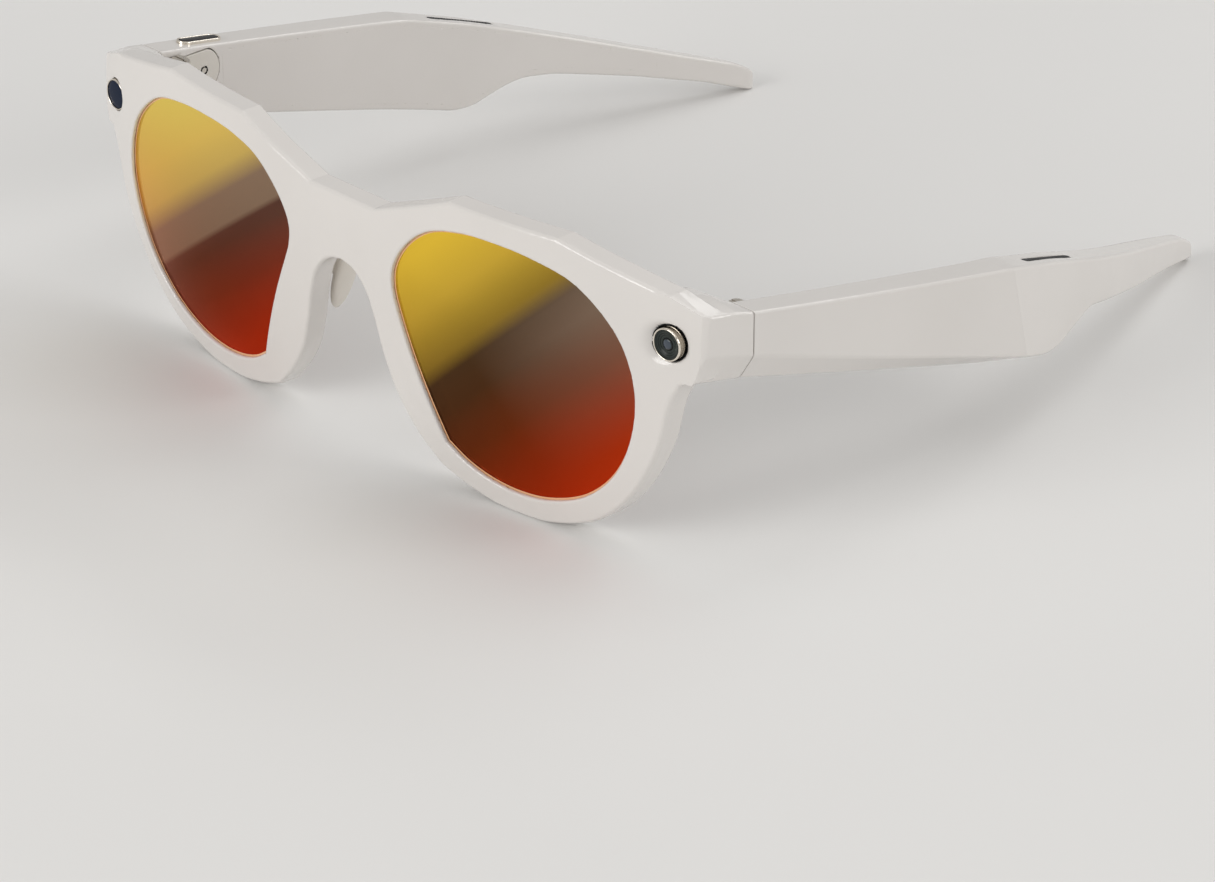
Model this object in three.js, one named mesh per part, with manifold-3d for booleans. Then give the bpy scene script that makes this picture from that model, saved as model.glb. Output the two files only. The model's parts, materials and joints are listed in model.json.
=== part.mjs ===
// Smart glasses: a one-piece front with two mirror lenses and an electronics bay
// in each end, and two hollow temples that fold on screwed metal hinges.
// Millimetres. The glasses are drawn with the bridge top at the origin, +X to the
// wearer's left, +Y towards the ears and +Z up, then set down on their rims and tips.
import * as THREE from "three";
import { mergeVertices } from "three/addons/utils/BufferGeometryUtils.js";
import Module from "manifold-3d";

const wasm = await Module();
wasm.setup();

// ---- driving dimensions ----
const GAP = 0.3;
const REST_TILT = THREE.MathUtils.degToRad(2.3);
const REST_HEIGHT = 45.5;

// front
const FRAME_DEPTH = 4.4;
const FRAME_CHAMFER = 0.6;
const FACE_CURVE = 0.0034;
const FACE_CENTRE_X = 18.1;
const FACE_SET = -0.54;
const FACE_LEAN = 0.0917;
const FACE_BOW = 0.004;
const EDGE_STEP = 4.0;
const LENS_THICK = 1.8;
const LENS_LIP = 1.3;
const LENS_REBATE = 1.1;

// camera and light windows, one at each end of the front
const EYE_X = 68.0;
const EYE_Z = -5.1;
const EYE_YAW = 0.1;
const EYE_BORE_R = 3.15;
const EYE_RING_R = 2.85;
const EYE_WINDOW_R = 2.4;
const EYE_PROUD = 0.7;

// ends of the front and their rear blocks
const END_TOP_X = 73.6;
const END_BLOCK_INNER_X = 64.0;
const END_ARM_INNER_X = 69.6;
const BAY_BACK_Y = 15.6;
const ROOF_BACK_Y = 18.2;
const ROOF_THICK = 2.0;
const JOINT_Y = 18.8;

// hinges
const PIN_X = 68.3;
const PIN_Y = 21.7;
const PIN_R = 0.7;
const KNUCKLE_R = 1.9;
const KNUCKLE_TOP = -3.2;
const KNUCKLE_H = 2.4;
const LEAF_THICK = 1.0;
const SCREW_R = 0.5;
const SCREW_LONG = 0.9;
const FRONT_SCREW_Y = 17.4;
const SCREW_Z = -7.05;
const TEMPLE_SCREW_Y = 28.6;
const TEMPLE_SCREW_Z = -7.5;

// temples
const TEMPLE_START = JOINT_Y + 0.35;
const TEMPLE_END = 148.0;
const WALL = 1.2;
const COVER_THICK = 1.0;
const COVER_START = 33.0;
const COVER_END = 127.0;
const BAY_START = 25.0;
const BAY_END = 99.0;
const SLOT_LENGTH = 14.8;
const SLOT_WIDTH = 1.4;
const SLOT_Y = 89.5;
const BUTTON_Y = 29.9;
const BUTTON_LENGTH = 9.6;
const BUTTON_WIDTH = 2.0;

// ---- materials ----
function finish(color, roughness, metalness) {
  return new THREE.MeshStandardMaterial({ color, roughness, metalness });
}

const cream = finish(0xddd8d0, 0.25, 0.0);
const mirror = finish(0xb5742a, 0.08, 0.6);
const silicone = finish(0xd8d2c8, 0.5, 0.0);
const black = finish(0x101114, 0.3, 0.0);
const navy = finish(0x101a30, 0.1, 0.2);
const steel = finish(0xb9b2a6, 0.3, 1.0);
const gold = finish(0xc9a24a, 0.25, 1.0);
const board = finish(0x1d4a35, 0.5, 0.0);
const foil = finish(0x9a9ca0, 0.4, 0.6);
const amber = finish(0xa0622a, 0.4, 0.0);

// ---- solids ----
function toSolid(geometry) {
  const bare = geometry.clone();
  bare.deleteAttribute("normal");
  bare.deleteAttribute("uv");
  const merged = mergeVertices(bare, 1e-4);
  return new wasm.Manifold(new wasm.Mesh({
    numProp: 3,
    vertProperties: new Float32Array(merged.attributes.position.array),
    triVerts: new Uint32Array(merged.index.array),
  }));
}

function toGeometry(solid) {
  const out = solid.getMesh();
  const geometry = new THREE.BufferGeometry();
  geometry.setAttribute("position", new THREE.BufferAttribute(new Float32Array(out.vertProperties), 3));
  geometry.setIndex(new THREE.BufferAttribute(new Uint32Array(out.triVerts), 1));
  return geometry;
}

function cut(base, ...tools) {
  let solid = toSolid(base);
  for (const tool of tools) solid = solid.subtract(toSolid(tool));
  return toGeometry(solid);
}

function join(base, ...others) {
  let solid = toSolid(base);
  for (const other of others) solid = solid.add(toSolid(other));
  return toGeometry(solid);
}

function mirrored(geometry) {
  const flipped = geometry.index ? geometry.clone() : mergeVertices(geometry.clone(), 1e-4);
  flipped.scale(-1, 1, 1);
  const order = flipped.index.array;
  for (let i = 0; i < order.length; i += 3) {
    [order[i], order[i + 1]] = [order[i + 1], order[i]];
  }
  return flipped;
}

// ---- curves ----
function ramp(points, at) {
  let k = 1;
  while (k < points.length - 1 && at > points[k][0]) k += 1;
  const [a, va] = points[k - 1];
  const [b, vb] = points[k];
  return va + ((vb - va) * (at - a)) / (b - a);
}

function faceY(x, z) {
  const from = Math.abs(x);
  const bridge = THREE.MathUtils.smoothstep(FACE_CENTRE_X - from, 0, 10);
  const sweep = from > FACE_CENTRE_X ? FACE_CURVE * (from - FACE_CENTRE_X) ** 2 : 0;
  return sweep + FACE_SET * (1 - bridge) + FACE_LEAN * z + FACE_BOW * z * z;
}

function splineThrough(points) {
  const corners = points.map(([x, z]) => new THREE.Vector3(x, z, 0));
  return new THREE.CatmullRomCurve3(corners, false, "centripetal");
}

function smooth(points) {
  const curve = splineThrough(points);
  const count = Math.max(2, Math.ceil(curve.getLength() / EDGE_STEP) * 2);
  return curve.getSpacedPoints(count).map((p) => [p.x, p.y]);
}

function straight(points) {
  const made = [];
  for (let k = 1; k < points.length; k += 1) {
    const [ax, az] = points[k - 1];
    const [bx, bz] = points[k];
    const count = Math.max(1, Math.ceil(Math.hypot(bx - ax, bz - az) / EDGE_STEP));
    for (let i = 0; i < count; i += 1) {
      made.push([ax + ((bx - ax) * i) / count, az + ((bz - az) * i) / count]);
    }
  }
  return made;
}

// ---- front outlines, drawn for the wearer's left half ----
const LENS_CENTRE = [37.4, -18.5];
const BROW_LINE = [[0, 0], [7.8, 0], [25.2, 6.7], [47.3, 6.8], [67.5, 2.3], [END_TOP_X, 0], [73.5, -6.5],
  [72.6, -11.0], [69.9, -12.1]];
const RIM_LINE = [[69.9, -12.1], [68.2, -15.6], [66.0, -23.7], [61.9, -31.9], [56.7, -38.2], [51.2, -42.2],
  [41.2, -45.4], [34.0, -45.6], [25.8, -43.9], [20.2, -41.8]];
const NASAL_LINE = [[20.2, -41.8], [15.6, -37.2], [11.9, -31.9], [9.4, -25.6], [7.8, -19.6], [6.0, -15.0],
  [3.2, -12.2], [0, -11.3]];
const OPENING_ROUND = [[22.7, -36.6], [26.6, -39.0], [31.4, -40.6], [37.2, -41.2], [43.6, -40.4],
  [51.3, -37.1], [57.6, -30.9], [61.3, -22.6], [62.0, -14.4], [59.2, -6.6], [51.6, 0.0], [43.0, 2.2],
  [34.5, 2.7], [27.6, 2.2], [20.8, 0.2], [15.6, -4.1], [12.9, -8.8], [12.9, -12.4], [13.9, -15.4]];
const OPENING_NASAL = [[13.9, -15.4], [22.7, -36.6]];

function openingOutline(grow = 0) {
  const line = [...smooth(OPENING_ROUND).slice(0, -1), ...straight(OPENING_NASAL)];
  const [cx, cz] = LENS_CENTRE;
  return line.map(([x, z]) => {
    const reach = Math.hypot(x - cx, z - cz);
    const scale = (reach + grow) / reach;
    return [cx + (x - cx) * scale, cz + (z - cz) * scale];
  });
}

function frontOutline() {
  const half = [...straight(BROW_LINE), ...smooth(RIM_LINE).slice(0, -1), ...smooth(NASAL_LINE)];
  const other = half.slice(1, -1).reverse().map(([x, z]) => [-x, z]);
  return [...half, ...other];
}

function toPoints(pairs) {
  const points = pairs.map(([x, z]) => new THREE.Vector2(x, z));
  return THREE.ShapeUtils.isClockWise(points) ? points.reverse() : points;
}

function bend(geometry) {
  const place = geometry.attributes.position;
  for (let i = 0; i < place.count; i += 1) {
    place.setY(i, place.getY(i) + faceY(place.getX(i), place.getZ(i)));
  }
  return geometry;
}

// a plate that follows the curved face, from depth y0 to depth y1 behind it
function facePlate(points, y0, y1, holes = [], chamfer = 0) {
  const shape = new THREE.Shape(toPoints(points));
  for (const hole of holes) shape.holes.push(new THREE.Path(toPoints(hole)));
  const plate = new THREE.ExtrudeGeometry(shape, {
    depth: y1 - y0 - 2 * chamfer,
    steps: 1,
    bevelEnabled: chamfer > 0,
    bevelThickness: chamfer,
    bevelSize: chamfer,
    bevelOffset: -chamfer,
    bevelSegments: 1,
  });
  plate.rotateX(Math.PI / 2);
  plate.translate(0, y1 - chamfer, 0);
  return bend(plate);
}

// a lens-like plate with rings of points, so that it follows the face inside its edge
function facePane(points, y0, y1, rings = 4) {
  const [cx, cz] = LENS_CENTRE;
  const positions = [];
  const index = [];
  const count = points.length;
  const rim = toPoints(points);
  for (const depth of [y0, y1]) {
    positions.push(cx, depth, cz);
    for (let ring = 1; ring <= rings; ring += 1) {
      for (const { x, y: z } of rim) {
        positions.push(cx + ((x - cx) * ring) / rings, depth, cz + ((z - cz) * ring) / rings);
      }
    }
  }
  const layer = 1 + rings * count;
  const at = (side, ring, k) => side * layer + (ring === 0 ? 0 : 1 + (ring - 1) * count + (k % count));
  const face = (side, a, b, c) => index.push(...(side === 0 ? [a, b, c] : [a, c, b]));
  for (let k = 0; k < count; k += 1) {
    for (const side of [0, 1]) {
      face(side, at(side, 0, 0), at(side, 1, k), at(side, 1, k + 1));
      for (let ring = 1; ring < rings; ring += 1) {
        face(side, at(side, ring, k), at(side, ring + 1, k), at(side, ring + 1, k + 1));
        face(side, at(side, ring, k), at(side, ring + 1, k + 1), at(side, ring, k + 1));
      }
    }
    index.push(at(0, rings, k), at(1, rings, k), at(1, rings, k + 1));
    index.push(at(0, rings, k), at(1, rings, k + 1), at(0, rings, k + 1));
  }
  const pane = new THREE.BufferGeometry();
  pane.setAttribute("position", new THREE.Float32BufferAttribute(positions, 3));
  pane.setIndex(index);
  return bend(pane);
}

// ---- plain blocks ----
function block(low, high) {
  const box = new THREE.BoxGeometry(high[0] - low[0], high[1] - low[1], high[2] - low[2]);
  return box.translate((high[0] + low[0]) / 2, (high[1] + low[1]) / 2, (high[2] + low[2]) / 2);
}

function upright(radius, top, bottom, x = PIN_X, y = PIN_Y) {
  const drum = new THREE.CylinderGeometry(radius, radius, top - bottom, 24);
  return drum.rotateX(Math.PI / 2).translate(x, y, (top + bottom) / 2);
}

// a turned piece on the camera axis: profile pairs are [radius, depth behind the window face]
function eyePiece(profile) {
  const outline = profile.map(([radius, depth]) => new THREE.Vector2(radius, depth));
  const turned = new THREE.LatheGeometry(outline, 28);
  turned.rotateZ(EYE_YAW);
  return turned.translate(EYE_X, faceY(EYE_X, EYE_Z) - EYE_PROUD, EYE_Z);
}

// a closed body through matching rings of points, given ring after ring along +Y
function loft(rings) {
  const count = rings[0].length;
  const index = [];
  for (let r = 0; r < rings.length - 1; r += 1) {
    for (let k = 0; k < count; k += 1) {
      const a = r * count + k;
      const b = r * count + ((k + 1) % count);
      index.push(a, a + count, b);
      index.push(b, a + count, b + count);
    }
  }
  const cap = (start, flip) => {
    for (let k = 1; k < count - 1; k += 1) {
      index.push(start, ...(flip ? [start + k + 1, start + k] : [start + k, start + k + 1]));
    }
  };
  cap(0, false);
  cap((rings.length - 1) * count, true);
  const body = new THREE.BufferGeometry();
  body.setAttribute("position", new THREE.Float32BufferAttribute(rings.flat(2), 3));
  body.setIndex(index);
  return body;
}

// ---- the plane that rims and tips stand on ----
function standing(object) {
  object.rotation.x = -REST_TILT;
  object.position.z = REST_HEIGHT;
  object.updateMatrix();
  return object;
}

function belowGround() {
  const slab = block([-200, -100, -30], [200, 300, 0]);
  return slab.applyMatrix4(standing(new THREE.Object3D()).matrix.clone().invert());
}

// ---- front frame ----
function endBlock() {
  const ring = (y, inner, outer, top, facet, lean, bottom) => [
    [inner, y, top], [inner, y, bottom + 0.6], [outer - lean, y, bottom], [outer, y, facet], [outer, y, top],
  ];
  const bay = loft([
    ring(9.4, END_BLOCK_INNER_X + 1, 73.5, -0.4, -6.5, 1.2, -11.0),
    ring(BAY_BACK_Y, END_BLOCK_INNER_X, 74.5, -0.8, -7.9, 2.4, -12.5),
  ]);
  const arm = loft([
    ring(BAY_BACK_Y - 1, END_ARM_INNER_X, 74.35, -0.7, -7.7, 2.2, -12.3),
    ring(JOINT_Y, END_ARM_INNER_X, 75.0, -1.2, -8.65, 3.0, -13.5),
  ]);
  return join(bay, arm, hingeRoof());
}

// the top of the end block reaches back over the hinge's front leaf
function hingeRoof() {
  const plan = [[END_BLOCK_INNER_X, BAY_BACK_Y - 1], [END_ARM_INNER_X + 0.4, BAY_BACK_Y - 1],
    [END_ARM_INNER_X + 0.4, ROOF_BACK_Y], [END_BLOCK_INNER_X, BAY_BACK_Y]];
  const upright = { depth: ROOF_THICK, bevelEnabled: false };
  const roof = new THREE.ExtrudeGeometry(new THREE.Shape(toPoints(plan)), upright);
  return roof.translate(0, 0, KNUCKLE_TOP + GAP);
}

function eyeBore() {
  return eyePiece([[0, -2], [EYE_BORE_R, -2], [EYE_BORE_R, 6.2], [0, 6.2]]);
}

function endPocket() {
  return block([64.8, 11.4, -9.6], [72.2, 14.2, -1.6]);
}

function endPocketMouth() {
  return block([65.5, 14.0, -9.6], [69.2, BAY_BACK_Y + 1, KNUCKLE_TOP]);
}

const FLEX_LINE = [[0, -3.2], [8, -2.9], [15, -0.6], [21, 2.6], [26, 4.4], [34, 4.8], [46, 4.5],
  [54, 2.4], [61, -0.6]];

// a band along the brow, as wide as stated and from depth y0 to y1 behind the face
function strip(width, y0, y1, trim = 0) {
  const curve = splineThrough([...FLEX_LINE.slice(1).reverse().map(([x, z]) => [-x, z]), ...FLEX_LINE]);
  const steps = 36;
  const rings = [];
  for (let i = 0; i <= steps; i += 1) {
    const along = trim + ((1 - 2 * trim) * i) / steps;
    const middle = curve.getPointAt(along);
    const heading = curve.getTangentAt(along);
    const corner = (side, depth) => {
      const x = middle.x - (side * heading.y * width) / 2;
      const z = middle.y + (side * heading.x * width) / 2;
      return [x, faceY(x, z) + depth, z];
    };
    rings.push([corner(-1, y0), corner(1, y0), corner(1, y1), corner(-1, y1)]);
  }
  return loft(rings);
}

function frontFrame() {
  const opening = openingOutline();
  const openingOther = opening.map(([x, z]) => [-x, z]);
  const plate = facePlate(frontOutline(), 0, FRAME_DEPTH, [opening, openingOther], FRAME_CHAMFER);
  const rebate = facePane(openingOutline(LENS_REBATE), LENS_LIP, FRAME_DEPTH + 2);
  const groove = strip(2.0, FRAME_DEPTH - 1.7, FRAME_DEPTH + 1);
  const end = endBlock();
  const contactWell = block([1.7, 2.6, -8.9], [5.3, FRAME_DEPTH + 0.2, -5.3]);
  const padSocket = upright(1.0, -14.6, -17.0, 10.0, FRAME_DEPTH - 0.4);
  const oneSide = [rebate, eyeBore(), endPocket(), endPocketMouth(), contactWell, padSocket];
  const whole = join(plate, end, mirrored(end));
  return cut(whole, groove, ...oneSide, ...oneSide.map(mirrored), belowGround());
}

function lens() {
  return facePane(openingOutline(LENS_REBATE - GAP), LENS_LIP + GAP, LENS_LIP + GAP + LENS_THICK);
}

// ---- camera end and light end ----
function ringPiece() {
  const inner = EYE_WINDOW_R + GAP - 0.15;
  return eyePiece([[inner, 0.25], [inner + 0.12, 0], [EYE_RING_R - 0.1, 0], [EYE_RING_R, 0.15],
    [EYE_RING_R, 2.6], [inner, 2.6], [inner, 0.25]]);
}

function windowPiece() {
  return eyePiece([[0, 0.35], [EYE_WINDOW_R - 0.15, 0.35], [EYE_WINDOW_R - 0.15, 1.0], [0, 1.0]]);
}

function barrelPiece() {
  return eyePiece([[0, 2.2], [0.9, 1.7], [1.4, 1.4], [2.1, 1.4], [2.1, 3.0], [2.7, 3.1], [2.7, 4.6], [0, 4.6]]);
}

function lightGuidePiece() {
  return eyePiece([[0, 1.4], [1.9, 1.4], [1.9, 3.2], [1.2, 4.6], [0, 4.6]]);
}

function eyeBoard() {
  const plate = block([-2.4, 5.2, -3.2], [2.4, 6.0, 3.2]);
  return plate.rotateZ(EYE_YAW).translate(EYE_X, faceY(EYE_X, EYE_Z) - EYE_PROUD, EYE_Z);
}

function bayCover() {
  return block([65.8, 14.4, -9.3], [68.9, 15.3, KNUCKLE_TOP - GAP]);
}

function contact() {
  return block([2.0, 3.0, -8.6], [5.0, FRAME_DEPTH - 0.5, -5.6]);
}

// ---- nose pads: a rounded pad on a short pegged foot ----
function nosePad() {
  const pad = new THREE.SphereGeometry(1, 20, 12).scale(1.5, 3.6, 7.2);
  pad.rotateX(0.12);
  pad.rotateY(-0.28);
  pad.rotateZ(-0.42);
  pad.translate(9.6, 8.6, -19.5);
  const foot = block([8.9, FRAME_DEPTH - 0.05, -18.4], [11.3, 8.0, -14.0]);
  return join(pad, foot.translate(0.2, 0.25, 0));
}

// ---- hinge ----
function knuckle(level) {
  const top = KNUCKLE_TOP - level * (KNUCKLE_H + GAP);
  return [top, top - KNUCKLE_H];
}

const FRONT_LEAF_X = END_ARM_INNER_X - GAP - LEAF_THICK;

function frontLeaf() {
  let leaf = block([FRONT_LEAF_X, 15.95, -10.9], [END_ARM_INNER_X - GAP, 19.4, -3.2]);
  for (const level of [0, 2]) {
    const [top, bottom] = knuckle(level);
    const arm = block([PIN_X - 0.9, 18.4, bottom], [PIN_X + 1.0, PIN_Y, top]);
    leaf = join(leaf, upright(KNUCKLE_R, top, bottom), arm);
  }
  return cut(leaf, upright(PIN_R + GAP, 0, -14), leafScrewHole(PIN_X, FRONT_SCREW_Y, SCREW_Z));
}

function leafScrewHole(x, y, z) {
  return new THREE.CylinderGeometry(0.85, 0.85, 6, 16).rotateZ(Math.PI / 2).translate(x, y, z);
}

function leafScrew(x, y, z) {
  const profile = [[0, 0], [SCREW_R, 0], [SCREW_R, SCREW_LONG], [0, SCREW_LONG]];
  const turned = new THREE.LatheGeometry(profile.map(([r, h]) => new THREE.Vector2(r, h)), 16);
  return turned.rotateZ(-Math.PI / 2).translate(x, y, z);
}

function hingePin() {
  const top = KNUCKLE_TOP + 0.5;
  const foot = KNUCKLE_TOP - 3 * KNUCKLE_H - 2 * GAP - 0.4;
  const collar = KNUCKLE_TOP + 0.3;
  const profile = [[0, foot], [PIN_R, foot], [PIN_R, collar], [1.3, collar], [1.3, top], [0, top]];
  const pin = new THREE.LatheGeometry(profile.map(([r, z]) => new THREE.Vector2(r, z)), 24);
  pin.rotateX(Math.PI / 2).translate(PIN_X, PIN_Y, 0);
  return cut(pin, block([PIN_X - 2, PIN_Y - 0.16, top - 0.3], [PIN_X + 2, PIN_Y + 0.16, top + 1]));
}

// ---- temple shape ----
const TEMPLE_TOP = [[JOINT_Y, -1.2], [76, -11.2], [90, -15.3], [144, -33.8], [TEMPLE_END, -36.4]];
const TEMPLE_FACET = [[JOINT_Y, -8.7], [86, -30.3], [90, -30.4], [94, -29.2], [101, -27.4],
  [TEMPLE_END, -38.8]];
const TEMPLE_BOTTOM = [[JOINT_Y, -13.5], [86, -31.8], [90, -31.8], [94, -30.4], [97.5, -29.2], [101, -28.6],
  [107, -29.1], [123, -32.6], [137, -36.3], [TEMPLE_END, -40.2]];
const TEMPLE_OUTSIDE = [[JOINT_Y, 75.0], [39, 76.1], [55, 76.7], [76, 77.0], [81, 76.3], [90, 74.5],
  [103.5, 71.4], [116.5, 67.0], [127, 62.8], [135, 59.6], [TEMPLE_END, 54.9]];
const TEMPLE_WIDTH = [[JOINT_Y, 5.3], [60, 5.8], [80, 5.8], [105, 4.6], [125, 4.2], [TEMPLE_END, 2.5]];
const STATIONS = [TEMPLE_START, 30, 39, 48, 58, 67, 76, 81, 86, 90, 94, 97.5, 101, 107, 115, 123, 130, 137,
  143, 146.5, TEMPLE_END];
const CREASE_SLANT = 0.26;

const topZ = (y) => ramp(TEMPLE_TOP, y);
const facetZ = (y) => ramp(TEMPLE_FACET, y);
const bottomZ = (y) => ramp(TEMPLE_BOTTOM, y);
const outsideX = (y, z) => ramp(TEMPLE_OUTSIDE, Math.max(y + CREASE_SLANT * (z - topZ(y)), JOINT_Y));
const insideX = (y) => ramp(TEMPLE_OUTSIDE, y) - ramp(TEMPLE_WIDTH, y);
const lowX = (y) => insideX(y) + 0.42 * ramp(TEMPLE_WIDTH, y);

function templeRing(y) {
  const top = topZ(y);
  const facet = facetZ(y);
  const bottom = bottomZ(y);
  const inside = insideX(y);
  return [
    [inside, y, top - 0.5], [inside, y, bottom + 0.9], [inside + 0.6, y, bottom + 0.2], [lowX(y), y, bottom],
    [outsideX(y, facet), y, facet], [outsideX(y, top - 0.6), y, top - 0.6], [outsideX(y, top) - 0.6, y, top],
    [inside + 0.5, y, top],
  ];
}

function stationsBetween(from, to) {
  return [from, ...STATIONS.filter((y) => y > from + 0.5 && y < to - 0.5), to];
}

function baySpace() {
  return loft(stationsBetween(BAY_START, BAY_END).map((y) => {
    const top = topZ(y) - 1.4;
    const facet = facetZ(y) + 0.4;
    const bottom = bottomZ(y) + 1.6;
    const inside = insideX(y) + (y < COVER_START ? 1.6 : 1.1);
    return [[inside, y, top], [inside, y, bottom], [lowX(y) + 0.2, y, bottom],
      [outsideX(y, facet) - WALL, y, facet], [outsideX(y, top) - WALL, y, top]];
  }));
}

function innerPanel(from, to, x0, x1, margin) {
  return loft(stationsBetween(from, to).map((y) => {
    const top = topZ(y) - margin;
    const bottom = bottomZ(y) + margin + 0.3;
    const inside = insideX(y);
    return [[inside + x0, y, top], [inside + x0, y, bottom], [inside + x1, y, bottom], [inside + x1, y, top]];
  }));
}

function onTemple(geometry, y, x, z) {
  const lean = Math.atan2(topZ(y + 3) - topZ(y - 3), 6);
  const turn = Math.atan2(insideX(y + 3) - insideX(y - 3), 6);
  return geometry.rotateX(lean).rotateZ(-turn).translate(x, y, z);
}

function pill(length, width, height) {
  const half = (length - width) / 2;
  const shape = new THREE.Shape();
  shape.absarc(0, half, width / 2, 0, Math.PI, false);
  shape.absarc(0, -half, width / 2, Math.PI, 2 * Math.PI, false);
  return new THREE.ExtrudeGeometry(shape, { depth: height, bevelEnabled: false, curveSegments: 8 });
}

function topPill(length, width, from, height, y) {
  const middle = (insideX(y) + ramp(TEMPLE_OUTSIDE, y)) / 2 + 0.2;
  return onTemple(pill(length, width, height).translate(0, 0, from), y, middle, topZ(y));
}

function leafRecess() {
  return block([insideX(28) - 2, 23.7, -11.6], [insideX(28) + LEAF_THICK + 0.25, 32.4, -3.4]);
}

// room in the housing for the hinge's knuckles and for the temple leaf's arm
function hingeRoom() {
  const arm = block([PIN_X - 2, TEMPLE_START - 1, -8.8], [insideX(28) + 0.9, 24.3, -5.4]);
  return join(upright(KNUCKLE_R + 0.4, KNUCKLE_TOP + 1, -11.9), arm);
}

function templeHousing(withButton) {
  const tools = [baySpace(), innerPanel(COVER_START - GAP, COVER_END + GAP, -1, COVER_THICK + GAP, 0.9),
    leafRecess(), hingeRoom(), leafScrewHole(insideX(29) + 1.0, TEMPLE_SCREW_Y, TEMPLE_SCREW_Z),
    topPill(SLOT_LENGTH, SLOT_WIDTH, -3, 5, SLOT_Y), belowGround()];
  if (withButton) tools.push(topPill(BUTTON_LENGTH + 1.6, BUTTON_WIDTH + 1.2, -2.6, 4, BUTTON_Y));
  return cut(loft(STATIONS.map(templeRing)), ...tools);
}

function templeCover() {
  return innerPanel(COVER_START, COVER_END, 0, COVER_THICK, 0.9 + GAP);
}

function templeLeaf() {
  const [top, bottom] = knuckle(1);
  const face = insideX(28);
  const plate = block([face, 24.1, -11.2], [face + LEAF_THICK - 0.05, 29.0, -3.8]);
  const round = new THREE.CylinderGeometry(3.7, 3.7, LEAF_THICK - 0.05, 32);
  round.rotateZ(Math.PI / 2).scale(1, 0.8, 1).translate(face + (LEAF_THICK - 0.05) / 2, 29.0, -7.5);
  const link = block([PIN_X - 0.2, PIN_Y, bottom], [face + 0.5, 25.0, top]);
  const leaf = join(plate, round, link, upright(KNUCKLE_R, top, bottom));
  return cut(leaf, upright(PIN_R + GAP, 0, -14), leafScrewHole(face, TEMPLE_SCREW_Y, TEMPLE_SCREW_Z));
}

// ---- what the temple holds ----
function inBay(length, height, thick, y, across, drop) {
  const body = new THREE.BoxGeometry(thick, length, height);
  return onTemple(body, y, insideX(y) + across, (topZ(y) + bottomZ(y)) / 2 + drop);
}

function capturePad() {
  return topPill(BUTTON_LENGTH, BUTTON_WIDTH, -0.9, 1.5, BUTTON_Y);
}

function captureRim() {
  const outer = topPill(BUTTON_LENGTH + 1.0, BUTTON_WIDTH + 0.95, -1.2, 1.4, BUTTON_Y);
  return cut(outer, topPill(BUTTON_LENGTH + 0.4, BUTTON_WIDTH + 0.4, -2, 4, BUTTON_Y));
}

function captureSwitch() {
  const body = new THREE.BoxGeometry(1.9, 3.6, 0.7);
  const middle = (insideX(BUTTON_Y) + ramp(TEMPLE_OUTSIDE, BUTTON_Y)) / 2 + 0.2;
  return onTemple(body.translate(0, 0, -2.25), BUTTON_Y, middle, topZ(BUTTON_Y));
}

// ---- assembly ----
const glasses = standing(new THREE.Group());

function add(name, geometry, material) {
  const whole = geometry.index ? geometry : mergeVertices(geometry, 1e-4);
  whole.computeVertexNormals();
  const mesh = new THREE.Mesh(whole, material);
  mesh.name = name;
  glasses.add(mesh);
}

function addPair(name, geometry, material) {
  add(`${name}_left`, geometry, material);
  add(`${name}_right`, mirrored(geometry), material);
}

add("front_frame", frontFrame(), cream);
add("front_flex", strip(1.3, FRAME_DEPTH - 1.4, FRAME_DEPTH - 1.15, 0.01), amber);
add("brow_cover", strip(1.4, FRAME_DEPTH - 0.85, FRAME_DEPTH - 0.05, 0.01), cream);
addPair("lens", lens(), mirror);
addPair("nose_pad", nosePad(), silicone);
addPair("charge_contact", contact(), gold);
addPair("bay_cover", bayCover(), cream);

add("camera_ring", ringPiece(), steel);
add("camera_window", windowPiece(), navy);
add("camera_barrel", barrelPiece(), black);
add("camera_board", eyeBoard(), board);
add("light_ring", mirrored(ringPiece()), steel);
add("light_window", mirrored(windowPiece()), navy);
add("light_guide", mirrored(lightGuidePiece()), silicone);
add("light_board", mirrored(eyeBoard()), board);

addPair("hinge_front_leaf", frontLeaf(), steel);
addPair("hinge_temple_leaf", templeLeaf(), steel);
addPair("hinge_pin", hingePin(), steel);
addPair("hinge_front_screw", leafScrew(FRONT_LEAF_X + 0.1, FRONT_SCREW_Y, SCREW_Z), steel);
addPair("hinge_temple_screw", leafScrew(insideX(28) + 0.1, TEMPLE_SCREW_Y, TEMPLE_SCREW_Z), steel);

add("temple_housing_left", templeHousing(false), cream);
add("temple_housing_right", mirrored(templeHousing(true)), cream);
addPair("temple_cover", templeCover(), cream);
addPair("circuit_board", inBay(13, 7.0, 0.8, 42, 2.3, 0.3), board);
addPair("battery", inBay(25, 7.8, 2.1, 66, 2.75, 0.8), foil);
addPair("speaker", inBay(12, 5.6, 1.7, 89, 2.75, -0.6), black);
addPair("speaker_mesh", topPill(SLOT_LENGTH - 0.6, SLOT_WIDTH - 0.6, -1.2, 0.9, SLOT_Y), black);
addPair("microphone", inBay(2.6, 2.4, 1.0, 50.9, 2.7, 2.5), foil);

add("capture_button", mirrored(capturePad()), black);
add("capture_rim", mirrored(captureRim()), steel);
add("capture_switch", mirrored(captureSwitch()), black);
add("touch_strip", mirrored(inBay(12, 5, 0.3, 42, 3.5, 1.5)), amber);

// the origin is midway between the front and the tips, on the surface underneath
const extent = new THREE.Box3().setFromObject(glasses, true);
glasses.position.y = -(extent.min.y + extent.max.y) / 2;

export default glasses;
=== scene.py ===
import json
import math

import bmesh
import bpy
import numpy as np
from mathutils import Matrix, Vector


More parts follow.
